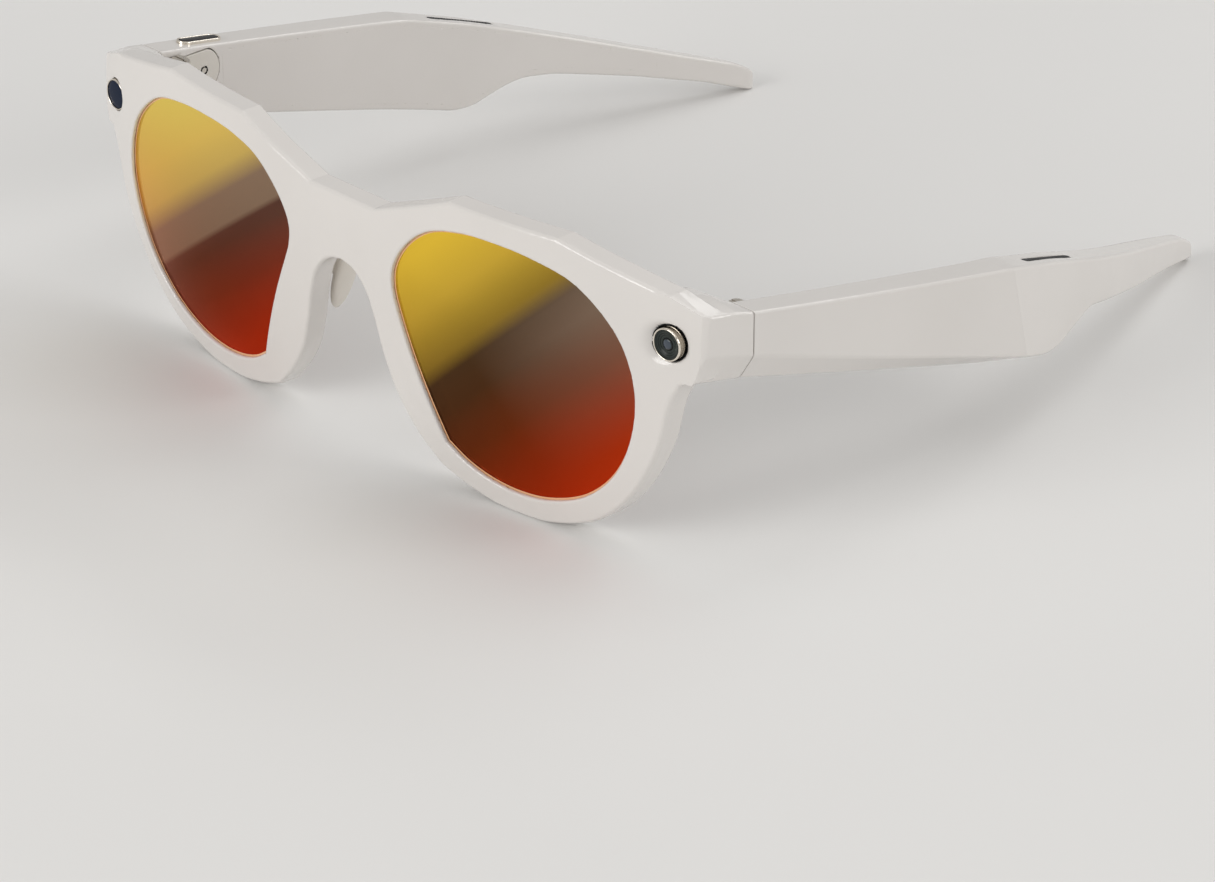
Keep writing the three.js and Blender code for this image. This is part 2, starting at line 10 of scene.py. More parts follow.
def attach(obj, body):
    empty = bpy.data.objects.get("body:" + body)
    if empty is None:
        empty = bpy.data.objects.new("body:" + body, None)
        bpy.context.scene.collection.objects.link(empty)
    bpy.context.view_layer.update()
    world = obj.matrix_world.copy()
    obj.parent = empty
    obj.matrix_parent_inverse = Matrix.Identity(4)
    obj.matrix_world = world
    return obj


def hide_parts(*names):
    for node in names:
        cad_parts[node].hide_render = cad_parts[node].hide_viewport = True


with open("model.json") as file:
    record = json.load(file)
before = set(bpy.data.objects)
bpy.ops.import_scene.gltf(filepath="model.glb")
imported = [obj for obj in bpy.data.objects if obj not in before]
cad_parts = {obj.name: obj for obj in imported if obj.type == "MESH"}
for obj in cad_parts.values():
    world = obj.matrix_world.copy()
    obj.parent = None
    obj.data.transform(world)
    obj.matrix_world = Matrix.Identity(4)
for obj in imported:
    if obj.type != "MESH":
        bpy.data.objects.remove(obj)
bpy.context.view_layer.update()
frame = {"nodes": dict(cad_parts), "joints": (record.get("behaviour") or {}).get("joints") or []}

# Looks for the smart glasses. Shapes are drawn in the glasses' own axes, in millimetres:
# the bridge top is the origin, +X is the wearer's left, +Y runs to the ears and +Z is up.
# Each moulded piece is a distance field, negative inside, that net() turns into a mesh.

MM = 0.001
HINGE = next(j for j in frame["joints"] if j["name"] == "hinge_left")

# front; depths are behind its outer face
FRAME_DEPTH = 4.4
FACE_CURVE = 0.0034
FACE_CENTRE_X = 18.1
FACE_SET = -0.54
FACE_LEAN = 0.0917
FACE_BOW = 0.004
OUTER_ROUND = 0.6
CORNER_STRIP = 0.65
OPENING_ROUNDING = 0.5
LENS_LIP = 0.8
LENS_REBATE = 1.1
LENS_FRONT = 0.88
LENS_BACK = 2.9
# width of the lens's outer band that carries a painted edge highlight
PAINTED_EDGE_LIGHT_BAND = 0.28
LENS_RINGS = 28
LENS_STEPS = 220
BROW_STRIP = 0.73
LENS_CENTRE = (37.4, -18.5)
CORNER_X = 73.58
GROOVE_DEPTH = 2.7
SHEAR_START = 60.0
SHEAR_END = 73.0

# the lens coating for each side, with a painted reflection in it: the direction across its bands in X and
# Z, how far from the lens centre yellow turns to brown at the painted reflection's edge, and its colours
# by distance from that line, in mm
COATING_AND_PAINTED_REFLECTION = {
    "left": ((-0.656, 0.755), 6.1, [
        (-30, (0.66, 0.042, 0.006)), (-21.5, (0.41, 0.038, 0.007)), (-14, (0.19, 0.036, 0.009)),
        (-6.5, (0.085, 0.036, 0.014)), (-1.6, (0.075, 0.042, 0.019)), (0.9, (0.33, 0.21, 0.030)),
        (5, (0.52, 0.34, 0.040)), (9, (0.75, 0.49, 0.055)), (17, (0.98, 0.66, 0.060))]),
    "right": ((-0.567, 0.824), 5.1, [
        (-26, (0.62, 0.034, 0.006)), (-16, (0.24, 0.029, 0.012)), (-9, (0.10, 0.033, 0.022)),
        (-7.2, (0.11, 0.046, 0.034)), (-6.2, (0.29, 0.20, 0.135)), (-1.4, (0.31, 0.215, 0.145)),
        (2.6, (0.77, 0.55, 0.15)), (8.5, (0.95, 0.69, 0.16)), (17, (1.0, 0.83, 0.18))]),
}

# a painted pale reflection on the brown, growing along the bands: where it runs, its colour and its share
PAINTED_SHEEN_START = -6.0
PAINTED_SHEEN_END = 24.0
PAINTED_SHEEN_COLOUR = (0.44, 0.33, 0.25, 1.0)
PAINTED_SHEEN = {
    "left": [(-26, 0.0), (-12, 0.28), (-6, 0.45), (-2, 0.34), (1.5, 0.0)],
    "right": [(-26, 0.0), (-9, 0.08), (-6, 0.0)],
}

# the share of light that each face of a lens stops, the colour of what passes, and the coating's
# colour at a glancing angle
COATING_COVER = 0.96
COATING_THROUGH = (0.50, 0.22, 0.08, 1.0)
COATING_GLANCE = (1.0, 0.62, 0.55, 1.0)
TINT_COVER = 0.35
TINT_THROUGH = (0.80, 0.62, 0.48, 1.0)

# camera and light windows
EYE_X = 68.0
EYE_Z = -5.3
EYE_YAW = 0.1
EYE_PROUD = 0.7
EYE_BORE = 3.08
LIGHT_BORE = 2.88
LIGHT_SUNK = 0.42
EYE_RING = 2.72
BORE_DEPTH = 5.8
DISH_REACH = 0.9
DISH_SPREAD = 1.4
DISH_SHRINK = 0.58
DISH_BACK = 1.5

# end blocks and hinges; boxes are (lowest corner, highest corner)
BLOCK_INNER_X = 64.0
ARM_INNER_X = 69.6
BAY_FRONT_Y = 2.0
BAY_BACK_Y = 15.6
ARM_FRONT_Y = 6.0
ROOF_FRONT_Y = 12.0
JOINT_Y = 18.8
PIN = (68.3, 21.7, -7.0)
PIN_RADIUS = 0.7
KNUCKLE_RADIUS = 1.9
KNUCKLE_TOP = -3.2
KNUCKLE_HEIGHT = 2.4
KNUCKLE_GAP = 0.3
LEAF_SKIN = 0.09
LEAF_THICK = 0.95
LEAF_Y = 28.0
SCREW_HOLE = 0.85
FRONT_LEAF_HOLE = (17.4, -7.05)
TEMPLE_LEAF_HOLE = (28.6, -7.5)
BAY_POCKET = ((64.9, 11.3, -9.6), (72.2, 14.2, -1.6))
BAY_MOUTH = ((65.6, 14.0, -9.5), (69.1, 17.0, KNUCKLE_TOP - 0.05))
BAY_LID = ((65.68, 14.4, -9.42), (69.02, 15.45, KNUCKLE_TOP - 0.13))
CONTACT_WELL = ((1.85, 2.6, -8.75), (5.15, 6.0, -5.45))
CONTACT = ((2.0, 3.0, -8.6), (5.0, 4.15, -5.6))
FOOT_LEAN = 0.12

# nose pads
PAD_PLACE = (9.6, 8.6, -19.5)
PAD_SIZE = (1.5, 3.6, 7.2)
PAD_TURN = (Matrix.Rotation(-0.42, 3, "Z") @ Matrix.Rotation(-0.28, 3, "Y")
            @ Matrix.Rotation(0.12, 3, "X"))
PAD_FOOT = ((9.2, 4.7, -18.3), (11.4, 8.4, -14.2))

# temples
TEMPLE_START = JOINT_Y + 0.17
TEMPLE_END = 148.0
WALL = 1.2
COVER_START = 33.0
COVER_END = 127.0
COVER_MARGIN = 1.2
COVER_THICK = 1.0
PANEL_PROUD = 0.015
PANEL_LAP = 0.12
BAY_START = 25.0
BAY_END = 99.0
SLOT_Y = 89.5
SLOT_LENGTH = 14.8
SLOT_WIDTH = 1.4
BUTTON_Y = 29.9
BUTTON_LENGTH = 8.3
BUTTON_WIDTH = 2.0
CREASE_SLANT = 0.26
CREASE_Y = 76.0
LOW_SHARE = 0.42
BAY_ROOF = 1.4
BAY_FLOOR = 1.6
SLOT_DEPTH = 3.0
GRILLE_SUNK = 0.1
GRILLE_PITCH = 0.62
GRILLE_ROW = 0.24
GRILLE_HOLE = 0.15


# ---- from the glasses' axes to the frame's ----
TILT_SIN = HINGE["axis"][1]
TILT_COS = HINGE["axis"][2]


def turned(points):
    x, y, z = points[..., 0], points[..., 1], points[..., 2]
    return np.stack([x, y * TILT_COS + z * TILT_SIN, z * TILT_COS - y * TILT_SIN], -1)


SHIFT = np.array(HINGE["pos_m"]) - turned(np.array(PIN)) * MM


def placed(points):
    return turned(np.asarray(points, float)) * MM + SHIFT


# ---- joining distance fields ----
def round_and(radius, *fields):
    """Where all the fields are inside, with the edges between them rounded."""
    highest = fields[0]
    squares = 0.0
    for field in fields:
        highest = np.maximum(highest, field)
        squares = squares + np.maximum(field + radius, 0.0) ** 2
    return np.minimum(highest, -radius) + np.sqrt(squares)


def round_or(radius, a, b):
    """Where either field is inside, with the corner between them filled."""
    share = np.clip(0.5 + 0.5 * (b - a) / radius, 0.0, 1.0)
    return b * (1 - share) + a * share - radius * share * (1 - share)


def box_field(x, y, z, low, high, radius=0.1):
    gaps = [abs(p - (a + b) / 2) - (b - a) / 2 + radius for p, a, b in zip((x, y, z), low, high)]
    outside = np.sqrt(sum(np.maximum(gap, 0.0) ** 2 for gap in gaps))
    inside = np.minimum(np.maximum(np.maximum(gaps[0], gaps[1]), gaps[2]), 0.0)
    return outside + inside - radius


# ---- outlines in the front's plane ----
def catmull(points):
    """A centripetal Catmull-Rom curve through the points."""
    per_span = 8
    points = np.array(points, float)
    first = 2 * points[0] - points[1]
    last = 2 * points[-1] - points[-2]
    held = np.vstack([first, points, last])
    made = []
    for k in range(1, len(held) - 2):
        p0, p1, p2, p3 = held[k - 1:k + 3]
        d0, d1, d2 = (max(math.sqrt(math.dist(a, b)), 1e-4) for a, b in ((p0, p1), (p1, p2), (p2, p3)))
        m1 = ((p1 - p0) / d0 - (p2 - p0) / (d0 + d1) + (p2 - p1) / d1) * d1
        m2 = ((p2 - p1) / d1 - (p3 - p1) / (d1 + d2) + (p3 - p2) / d2) * d1
        t = np.linspace(0, 1, per_span, endpoint=False)[:, None]
        made.append((2 * t**3 - 3 * t**2 + 1) * p1 + (t**3 - 2 * t**2 + t) * m1
                    + (3 * t**2 - 2 * t**3) * p2 + (t**3 - t**2) * m2)
    made.append(points[-1:])
    return np.vstack(made)


BROW_LINE = [(0, 0), (7.8, 0), (25.2, 6.7), (47.3, 6.8), (67.5, 2.3), (73.6, 0), (73.5, -6.5),
             (72.6, -11.0), (69.9, -12.1)]
RIM_LINE = [(69.9, -12.1), (68.2, -15.6), (66.0, -23.7), (61.9, -31.9), (56.7, -38.2), (51.2, -42.2),
            (41.2, -45.4), (34.0, -45.6), (25.8, -43.9), (20.2, -41.8)]
NASAL_LINE = [(20.2, -41.8), (15.6, -37.2), (11.9, -31.9), (9.4, -25.6), (7.8, -19.6), (6.0, -15.0),
              (3.2, -12.2), (0, -11.3)]
OPENING_ROUND = [(22.7, -36.6), (26.6, -39.0), (31.4, -40.6), (37.2, -41.2), (43.6, -40.4),
                 (51.3, -37.1), (57.6, -30.9), (61.3, -22.6), (62.0, -14.4), (59.2, -6.6), (51.6, 0.0),
                 (43.0, 2.2), (34.5, 2.7), (27.6, 2.2), (20.8, 0.2), (15.6, -4.1), (12.9, -8.8),
                 (12.9, -12.4), (13.9, -15.4)]
FLEX_LINE = [(-8, -2.9), (0, -3.2), (8, -2.9), (15, -0.6), (21, 2.6), (26, 4.4), (34, 4.8), (46, 4.5),
             (54, 2.4), (61, -0.6)]

OUTLINE = np.vstack([BROW_LINE[:-1], catmull(RIM_LINE)[:-1], catmull(NASAL_LINE)])
OPENING = np.vstack([catmull(OPENING_ROUND), [OPENING_ROUND[0]]])
FLEX = catmull(FLEX_LINE)


def line_distance(line, x, z, signed):
    """Distance to a line in the XZ plane. Signed, it is negative where a ray towards +X crosses the
    line an odd number of times."""
    nearest = np.full(np.broadcast(x, z).shape, np.inf)
    odd = np.zeros(nearest.shape, bool)
    for (ax, az), (bx, bz) in zip(line[:-1], line[1:]):
        span = (bx - ax) ** 2 + (bz - az) ** 2
        t = np.clip(((x - ax) * (bx - ax) + (z - az) * (bz - az)) / span, 0.0, 1.0)
        nearest = np.minimum(nearest, (x - ax - t * (bx - ax)) ** 2 + (z - az - t * (bz - az)) ** 2)
        if signed and az != bz:
            crosses = ((az > z) != (bz > z)) & (x < ax + (z - az) * (bx - ax) / (bz - az))
            odd ^= crosses
    return np.where(odd, -1.0, 1.0) * np.sqrt(nearest)


TABLE_STEP = 0.2
TABLE_X = np.arange(0.0, 82.0, TABLE_STEP)
TABLE_Z = np.arange(-50.0, 12.0, TABLE_STEP)


def tabled(line, signed):
    """The distance to a line, looked up in a fine table for either side of the bridge."""
    table = line_distance(line, TABLE_X[:, None], TABLE_Z[None, :], signed)

    def look_up(x, z):
        u = np.clip(abs(x) / TABLE_STEP, 0, len(TABLE_X) - 1.001)
        v = np.clip((z - TABLE_Z[0]) / TABLE_STEP, 0, len(TABLE_Z) - 1.001)
        i = u.astype(int)
        j = v.astype(int)
        fu = u - i
        fv = v - j
        near = table[i, j] * (1 - fu) + table[i + 1, j] * fu
        far = table[i, j + 1] * (1 - fu) + table[i + 1, j + 1] * fu
        return near * (1 - fv) + far * fv

    return look_up


outline_distance = tabled(OUTLINE, signed=True)
opening_distance = tabled(OPENING, signed=True)
flex_distance = tabled(FLEX, signed=False)


def smoothstep(value, low, high):
    t = np.clip((value - low) / (high - low), 0.0, 1.0)
    return t * t * (3 - 2 * t)


def face_y(x, z):
    """How far back the front's outer face is."""
    side = np.maximum(abs(x) - FACE_CENTRE_X, 0.0)
    bridge = smoothstep(FACE_CENTRE_X - abs(x), 0.0, 10.0)
    return FACE_CURVE * side**2 + FACE_SET * (1 - bridge) + FACE_LEAN * z + FACE_BOW * z * z


def face_shrink(x, z):
    """The factor that turns a depth along Y behind the face into a distance from it."""
    across = 2 * FACE_CURVE * np.maximum(abs(x) - FACE_CENTRE_X, 0.0)
    up = FACE_LEAN + 2 * FACE_BOW * z
    return 1 / np.sqrt(1 + across**2 + up**2)


def ground_field(y, z):
    """Positive under the surface that the glasses stand on."""
    return -(z * TILT_COS - y * TILT_SIN + SHIFT[2] / MM) + 0.02


# ---- temple shape ----
TOP_POINTS = [(JOINT_Y, -1.2), (76, -11.2), (90, -15.3), (144, -33.8), (TEMPLE_END, -36.4)]
FACET_POINTS = [(JOINT_Y, -8.7), (86, -30.3), (90, -30.4), (94, -29.2), (101, -27.4), (TEMPLE_END, -38.8)]
BOTTOM_POINTS = [(JOINT_Y, -13.5), (86, -31.8), (90, -31.8), (94, -30.4), (97.5, -29.2), (101, -28.6),
                 (107, -29.1), (123, -32.6), (137, -36.3), (TEMPLE_END, -40.2)]
OUTSIDE_START = 75.0
OUTSIDE_WIDEST = 77.0
OUTSIDE_POINTS = [(CREASE_Y, OUTSIDE_WIDEST), (81, 76.0), (90, 74.3), (103.5, 71.3), (116.5, 67.0),
                  (127, 62.8), (135, 59.6), (TEMPLE_END, 54.9)]
WIDTH_POINTS = [(JOINT_Y, 5.3), (60, 5.8), (80, 5.8), (105, 4.6), (125, 4.2), (TEMPLE_END, 2.5)]
CURVE_STEP = 0.25


def ramp(pairs, at):
    places, values = zip(*pairs)
    return np.interp(at, places, values)


def eased(pairs, reach):
    """The same line with its corners rounded over the reach to either side."""
    places = np.arange(pairs[0][0], pairs[-1][0] + CURVE_STEP, CURVE_STEP)
    values = ramp(pairs, places)
    half = int(reach / CURVE_STEP)
    start = values[0] - (values[1] - values[0]) * np.arange(half, 0, -1)
    end = values[-1] + (values[-1] - values[-2]) * np.arange(1, half + 1)
    window = np.ones(2 * half + 1) / (2 * half + 1)
    return list(zip(places, np.convolve(np.concatenate([start, values, end]), window, "valid")))


def bowed(start, end, value, end_value):
    """A shallow arc that arrives level at its end."""
    places = np.arange(start, end, CURVE_STEP)
    return list(zip(places, end_value - (end_value - value) * ((end - places) / (end - start)) ** 2))


# the outer face is one shallow arc up to the crease, and a second curve behind it
TEMPLE_OUTSIDE = (bowed(JOINT_Y, CREASE_Y, OUTSIDE_START, OUTSIDE_WIDEST)
                  + eased(OUTSIDE_POINTS, 4.0))
# the inner face follows the outer one, but without its crease
TEMPLE_BACKBONE = eased(TEMPLE_OUTSIDE, 9.0)
TEMPLE_TOP = eased(TOP_POINTS, 2.0)
TEMPLE_FACET = eased(FACET_POINTS, 1.5)
TEMPLE_BOTTOM = eased(BOTTOM_POINTS, 1.5)
TEMPLE_WIDTH = eased(WIDTH_POINTS, 8.0)


def top_z(y):
    return ramp(TEMPLE_TOP, y)


def bottom_z(y):
    return ramp(TEMPLE_BOTTOM, y)


def outside_x(y, z):
    return ramp(TEMPLE_OUTSIDE, np.maximum(y + CREASE_SLANT * (z - top_z(y)), JOINT_Y))


def inside_x(y):
    return ramp(TEMPLE_BACKBONE, y) - ramp(TEMPLE_WIDTH, y)


def low_x(y):
    """Where the lower facet ends, on the underside."""
    return inside_x(y) + LOW_SHARE * ramp(TEMPLE_WIDTH, y)


class Rail:
    """Directions along, across and up from the top of a temple at a given place."""

    def __init__(self, y):
        rise = (top_z(y + 3) - top_z(y - 3)) / 6
        turn = (inside_x(y + 3) - inside_x(y - 3)) / 6
        self.origin = np.array([(inside_x(y) + ramp(TEMPLE_OUTSIDE, y)) / 2 + 0.2, y, top_z(y)])
        self.along = np.array([turn, 1.0, rise]) / math.sqrt(1 + turn**2 + rise**2)
        self.across = np.array([1.0, -turn, 0.0]) / math.hypot(1.0, turn)
        self.up = np.cross(self.across, self.along)

    def local(self, x, y, z):
        offset = (x - self.origin[0], y - self.origin[1], z - self.origin[2])
        axes = (self.along, self.across, self.up)
        return tuple(sum(o * a for o, a in zip(offset, axis)) for axis in axes)


SLOT_RAIL = Rail(SLOT_Y)
BUTTON_RAIL = Rail(BUTTON_Y)


def pill(along, across, length, width):
    reach = np.maximum(abs(along) - (length - width) / 2, 0.0)
    return np.sqrt(reach**2 + across**2) - width / 2


# ---- fields of the moulded pieces, for the wearer's left ----
def eye_local(x, y, z):
    """Radius from the camera axis, and depth behind the camera's window."""
    dx = x - EYE_X
    dy = y - (face_y(EYE_X, EYE_Z) - EYE_PROUD)
    lateral = math.cos(EYE_YAW) * dx + math.sin(EYE_YAW) * dy
    depth = math.cos(EYE_YAW) * dy - math.sin(EYE_YAW) * dx
    return np.sqrt(lateral**2 + (z - EYE_Z) ** 2), depth


# the end block's side, top, crease and foot at two or three places along it
FRONT_CORNER_Y = 9.9
END_SIDE = [(FRONT_CORNER_Y, 73.6), (JOINT_Y, 75.0)]
END_TOP = [(FRONT_CORNER_Y, 0.0), (BAY_BACK_Y, -0.5), (JOINT_Y, -1.2)]
END_CROSS = [(FRONT_CORNER_Y, 0.377), (JOINT_Y, 0.0)]
END_CREASE = [(FRONT_CORNER_Y, -6.5), (JOINT_Y, -8.65)]
END_FOOT = [(FRONT_CORNER_Y, -11.6), (JOINT_Y, -13.6)]
END_SLOPE = [(FRONT_CORNER_Y, 0.35), (JOINT_Y, 0.63)]


def end_side_field(x, y, z):
    """The side of the end block, with the facet that leans in below its crease."""
    side = ramp(END_SIDE, y)
    slope = ramp(END_SLOPE, y)
    wall = x - side
    facet = (x - side - slope * (z - ramp(END_CREASE, y))) / np.sqrt(1 + slope**2)
    return round_and(0.15, wall, facet)


def end_field(x, y, z):
    """The end block: its bay, the arm that runs back to the joint, and the roof over the hinge."""
    side = end_side_field(x, y, z)
    top = ramp(END_TOP, y) + ramp(END_CROSS, y) * np.clip(ramp(END_SIDE, y) - x, 0.0, 6.1)
    lid = round_and(0.4, side, z - top)
    foot = ramp(END_FOOT, y) + FOOT_LEAN * (ramp(END_SIDE, y) - 2.4 - x)
    shell = round_and(0.3, lid, foot - z)
    bay = round_and(0.5, shell, BLOCK_INNER_X - x, y - BAY_BACK_Y, BAY_FRONT_Y - y)
    arm = round_and(0.15, np.maximum(shell, ARM_INNER_X - x), y - JOINT_Y, ARM_FRONT_Y - y)
    roof_back = (y - BAY_BACK_Y - 0.45 * (x - BLOCK_INNER_X)) * 0.91
    roof_low = KNUCKLE_TOP + KNUCKLE_GAP - z
    roof = round_and(0.3, shell, BLOCK_INNER_X - x, roof_back, roof_low, y - JOINT_Y + 0.5)
    return np.minimum(np.minimum(bay, arm), np.maximum(roof, ROOF_FRONT_Y - y))


def front_field(x, y, z):
    """The whole front: the rims and end blocks, less the openings, bores and pockets."""
    left = np.abs(x)
    bore_radius = np.where(x > 0, EYE_BORE, LIGHT_BORE)
    shrink = face_shrink(x, z)
    depth = y - face_y(x, z)
    rim = outline_distance(x, z - ramp(END_TOP, y) * smoothstep(left, SHEAR_START, SHEAR_END))
    hole = opening_distance(x, z)
    radius, back = eye_local(left, y, z)
    corner = (left - CORNER_X - depth * shrink + CORNER_STRIP) * math.sqrt(0.5)
    plate = round_and(OUTER_ROUND, rim, -depth * shrink)
    plate = round_and(0.15, plate, corner)
    plate = round_and(OUTER_ROUND, plate, (depth - FRAME_DEPTH) * shrink)
    body = round_or(0.25, plate, round_and(0.15, end_field(left, y, z), corner))
    body = np.maximum(body, -depth * shrink)
    body = round_and(OPENING_ROUNDING, body, -hole)
    rebate = np.maximum(hole - LENS_REBATE, (LENS_LIP - depth) * shrink)
    body = round_and(0.15, body, -rebate)
    groove = np.maximum(flex_distance(x, z) - BROW_STRIP, GROOVE_DEPTH - depth)
    body = round_and(0.1, body, -groove)
    dish = (radius - EYE_BORE - DISH_SPREAD * np.maximum(DISH_REACH - back, 0.0)) * DISH_SHRINK
    dish = np.maximum(np.maximum(dish, back - DISH_BACK), -x)
    body = -round_or(0.4, -body, dish)
    bore = np.maximum(radius - bore_radius, back - BORE_DEPTH)
    body = round_and(0.12, body, -bore)
    pocket = box_field(left, y, z, *BAY_POCKET)
    mouth = box_field(left, y, z, *BAY_MOUTH)
    body = round_and(0.1, body, -np.minimum(pocket, mouth))
    well = box_field(left, depth, z, *CONTACT_WELL, 0.4)
    body = round_and(0.15, body, -well)
    return round_and(0.3, body, ground_field(y, z))


def temple_shell_field(x, y, z):
    """The temple's outer shape."""
    foot = low_x(y)
    bottom = bottom_z(y)
    crease = ramp(TEMPLE_FACET, y)
    run = outside_x(y, crease) - foot
    rise = crease - bottom
    facet = ((x - foot) * rise - (z - bottom) * run) / np.sqrt(run**2 + rise**2)
    side = round_and(0.3, x - outside_x(y, z), facet)
    lid = round_and(0.5, side, z - top_z(y))
    shell = round_and(0.4, lid, bottom + FOOT_LEAN * (foot - x) - z)
    shell = round_and(0.5, shell, inside_x(y) + PANEL_PROUD - x)
    shell = round_and(0.15, shell, TEMPLE_START - y)
    tail = (y - TEMPLE_END + inside_x(y) - x + 1.3) * math.sqrt(0.5)
    shell = round_and(0.9, shell, y - TEMPLE_END + 0.02, tail)
    return round_and(0.3, shell, ground_field(y, z))


def panel_outline(y, z, grow):
    """The long panel on the temple's inner face, seen from the side."""
    low = bottom_z(y) + COVER_MARGIN + 0.3 - grow
    high = top_z(y) - COVER_MARGIN + grow
    return round_and(1.0 + grow, low - z, z - high, COVER_START - grow - y, y - COVER_END - grow)


def leaf_outline(y, z, grow):
    """The temple leaf seen from the side: a plate with a rounded rear end."""
    middle, half = TEMPLE_LEAF_HOLE[1], 3.7 + grow
    front = 24.1 - grow - y
    past = np.maximum(y - 29.0, 0.0) / 0.8
    round_end = (np.sqrt(past**2 + (z - middle) ** 2) - half) * 0.9
    return round_and(0.3, front, round_end)


def bay_field(x, y, z):
    """The hollow in a temple that holds its battery, board and speaker."""
    inside = inside_x(y) + np.where(y < COVER_START, 1.6, COVER_THICK)
    roof = z - top_z(y) + BAY_ROOF
    floor = bottom_z(y) + BAY_FLOOR - z
    wall = x - np.minimum(outside_x(y, z), outside_x(y, ramp(TEMPLE_FACET, y))) + WALL
    lean = ((x - low_x(y) - 0.2) - 0.62 * (z - bottom_z(y) - BAY_FLOOR)) * 0.85
    ends = np.maximum(BAY_START - y, y - BAY_END)
    return np.maximum.reduce(np.broadcast_arrays(inside - x, roof, floor, wall, lean, ends))


def housing_field(x, y, z, with_button):
    """The temple's shell, less its bay, recesses, speaker slot and button well."""
    face = inside_x(LEAF_Y)
    body = temple_shell_field(x, y, z)
    recess = np.maximum(panel_outline(y, z, 0.0), x - inside_x(y) - COVER_THICK)
    leaf = np.maximum(leaf_outline(y, z, 0.22), x - face - 1.2)
    room = np.maximum(pin_distance(x, y) - KNUCKLE_RADIUS - 0.35, abs(z - PIN[2] + 0.3) - 4.4)
    arm = box_field(x, y, z, (66.0, TEMPLE_START - 2, -8.7), (face + 0.9, 24.6, -5.5))
    body = np.maximum(body, -recess)
    body = round_and(0.1, body, -leaf)
    body = round_and(0.15, body, -np.minimum(room, arm))
    along, across, up = SLOT_RAIL.local(x, y, z)
    slot = np.maximum(pill(along, across, SLOT_LENGTH, SLOT_WIDTH), -SLOT_DEPTH - up)
    body = round_and(0.15, body, -slot)
    if with_button:
        along, across, up = BUTTON_RAIL.local(x, y, z)
        well = pill(along, across, BUTTON_LENGTH + 0.9, BUTTON_WIDTH + 0.85)
        body = np.maximum(body, -np.maximum(well, -2.6 - up))
    return np.maximum(body, -bay_field(x, y, z))


def cover_field(x, y, z):
    face = inside_x(y)
    slab = np.maximum(panel_outline(y, z, PANEL_LAP), face - x)
    return np.maximum(slab, x - face - COVER_THICK)


def gasket_field(x, y, z, bore_radius):
    """A black sleeve that lines the bore, just under the face, and closes it behind the bezel."""
    radius, back = eye_local(x, y, z)
    under = (0.22 - (y - face_y(x, z))) * face_shrink(x, z)
    wall = 0.4 * (bore_radius - EYE_RING)
    sleeve = round_and(0.03, radius - bore_radius + 0.02, bore_radius - wall - radius, under, back - 5.0)
    seat = round_and(0.03, radius - bore_radius + 0.02, EYE_RING + 0.03 - radius, 2.1 - back, back - 2.7)
    return np.minimum(sleeve, seat)


def nose_pad_field(x, y, z):
    """An oval pad, turned to lie on the side of the nose, on a short foot."""
    offset = (x - PAD_PLACE[0], y - PAD_PLACE[1], z - PAD_PLACE[2])
    spot = [sum(c * o for c, o in zip(row, offset)) for row in PAD_TURN.inverted()]
    k0 = np.sqrt(sum((p / s) ** 2 for p, s in zip(spot, PAD_SIZE)))
    k1 = np.sqrt(sum((p / s**2) ** 2 for p, s in zip(spot, PAD_SIZE))) + 1e-6
    oval = k0 * (k0 - 1) / k1
    foot = box_field(x, y, z, *PAD_FOOT, 0.6)
    return round_or(1.2, oval, foot)


def pin_distance(x, y):
    return np.hypot(x - PIN[0], y - PIN[1])


def knuckle_field(x, y, z, level):
    """One barrel round the pin, counted from the top, and the height of its top."""
    top = KNUCKLE_TOP - level * (KNUCKLE_HEIGHT + KNUCKLE_GAP)
    half = KNUCKLE_HEIGHT / 2
    return round_and(0.15, pin_distance(x, y) - KNUCKLE_RADIUS, abs(z - (top - half)) - half), top


def pin_hole(x, y):
    return pin_distance(x, y) - PIN_RADIUS - 0.12


def front_leaf_field(x, y, z):
    low, high = (ARM_INNER_X - 1.3, 15.95, -10.9), (ARM_INNER_X - 0.2, 19.4, KNUCKLE_TOP)
    body = box_field(x, y, z, low, high, 0.2)
    for level in (0, 2):
        drum, top = knuckle_field(x, y, z, level)
        low, high = (PIN[0] - 0.9, 18.4, top - KNUCKLE_HEIGHT), (PIN[0] + 1.0, PIN[1], top)
        body = round_or(0.4, body, np.minimum(drum, box_field(x, y, z, low, high, 0.15)))
    body = np.maximum(body, -pin_hole(x, y))
    hole = np.hypot(y - FRONT_LEAF_HOLE[0], z - FRONT_LEAF_HOLE[1]) - SCREW_HOLE
    return round_and(0.08, body, -hole)


def temple_leaf_field(x, y, z):
    face = inside_x(LEAF_Y)
    plate = round_and(0.18, leaf_outline(y, z, 0.0), face - x, x - face - LEAF_THICK)
    drum, top = knuckle_field(x, y, z, 1)
    low, high = (PIN[0] - 0.2, PIN[1], top - KNUCKLE_HEIGHT), (face + 0.5, 25.0, top)
    body = round_or(0.4, plate, np.minimum(drum, box_field(x, y, z, low, high, 0.15)))
    body = np.maximum(body, -pin_hole(x, y))
    hole = np.hypot(y - TEMPLE_LEAF_HOLE[0], z - TEMPLE_LEAF_HOLE[1]) - SCREW_HOLE
    return np.maximum(body, -np.maximum(hole, face + LEAF_SKIN - x))


def brow_cover_field(x, y, z):
    depth = y - face_y(x, z)
    strip = flex_distance(x, z) - BROW_STRIP + 0.03
    return round_and(0.12, strip, 3.55 - depth, depth - FRAME_DEPTH + 0.05)


def bay_cover_field(x, y, z):
    return box_field(x, y, z, *BAY_LID, 0.25)


def contact_field(x, y, z):
    return box_field(x, y - face_y(x, z), z, *CONTACT, 0.35)


def button_field(x, y, z):
    along, across, up = BUTTON_RAIL.local(x, y, z)
    edge = pill(along, across, BUTTON_LENGTH, BUTTON_WIDTH)
    crown = up - 0.52 + 0.06 * across**2
    return round_and(0.22, edge, crown, -0.9 - up)


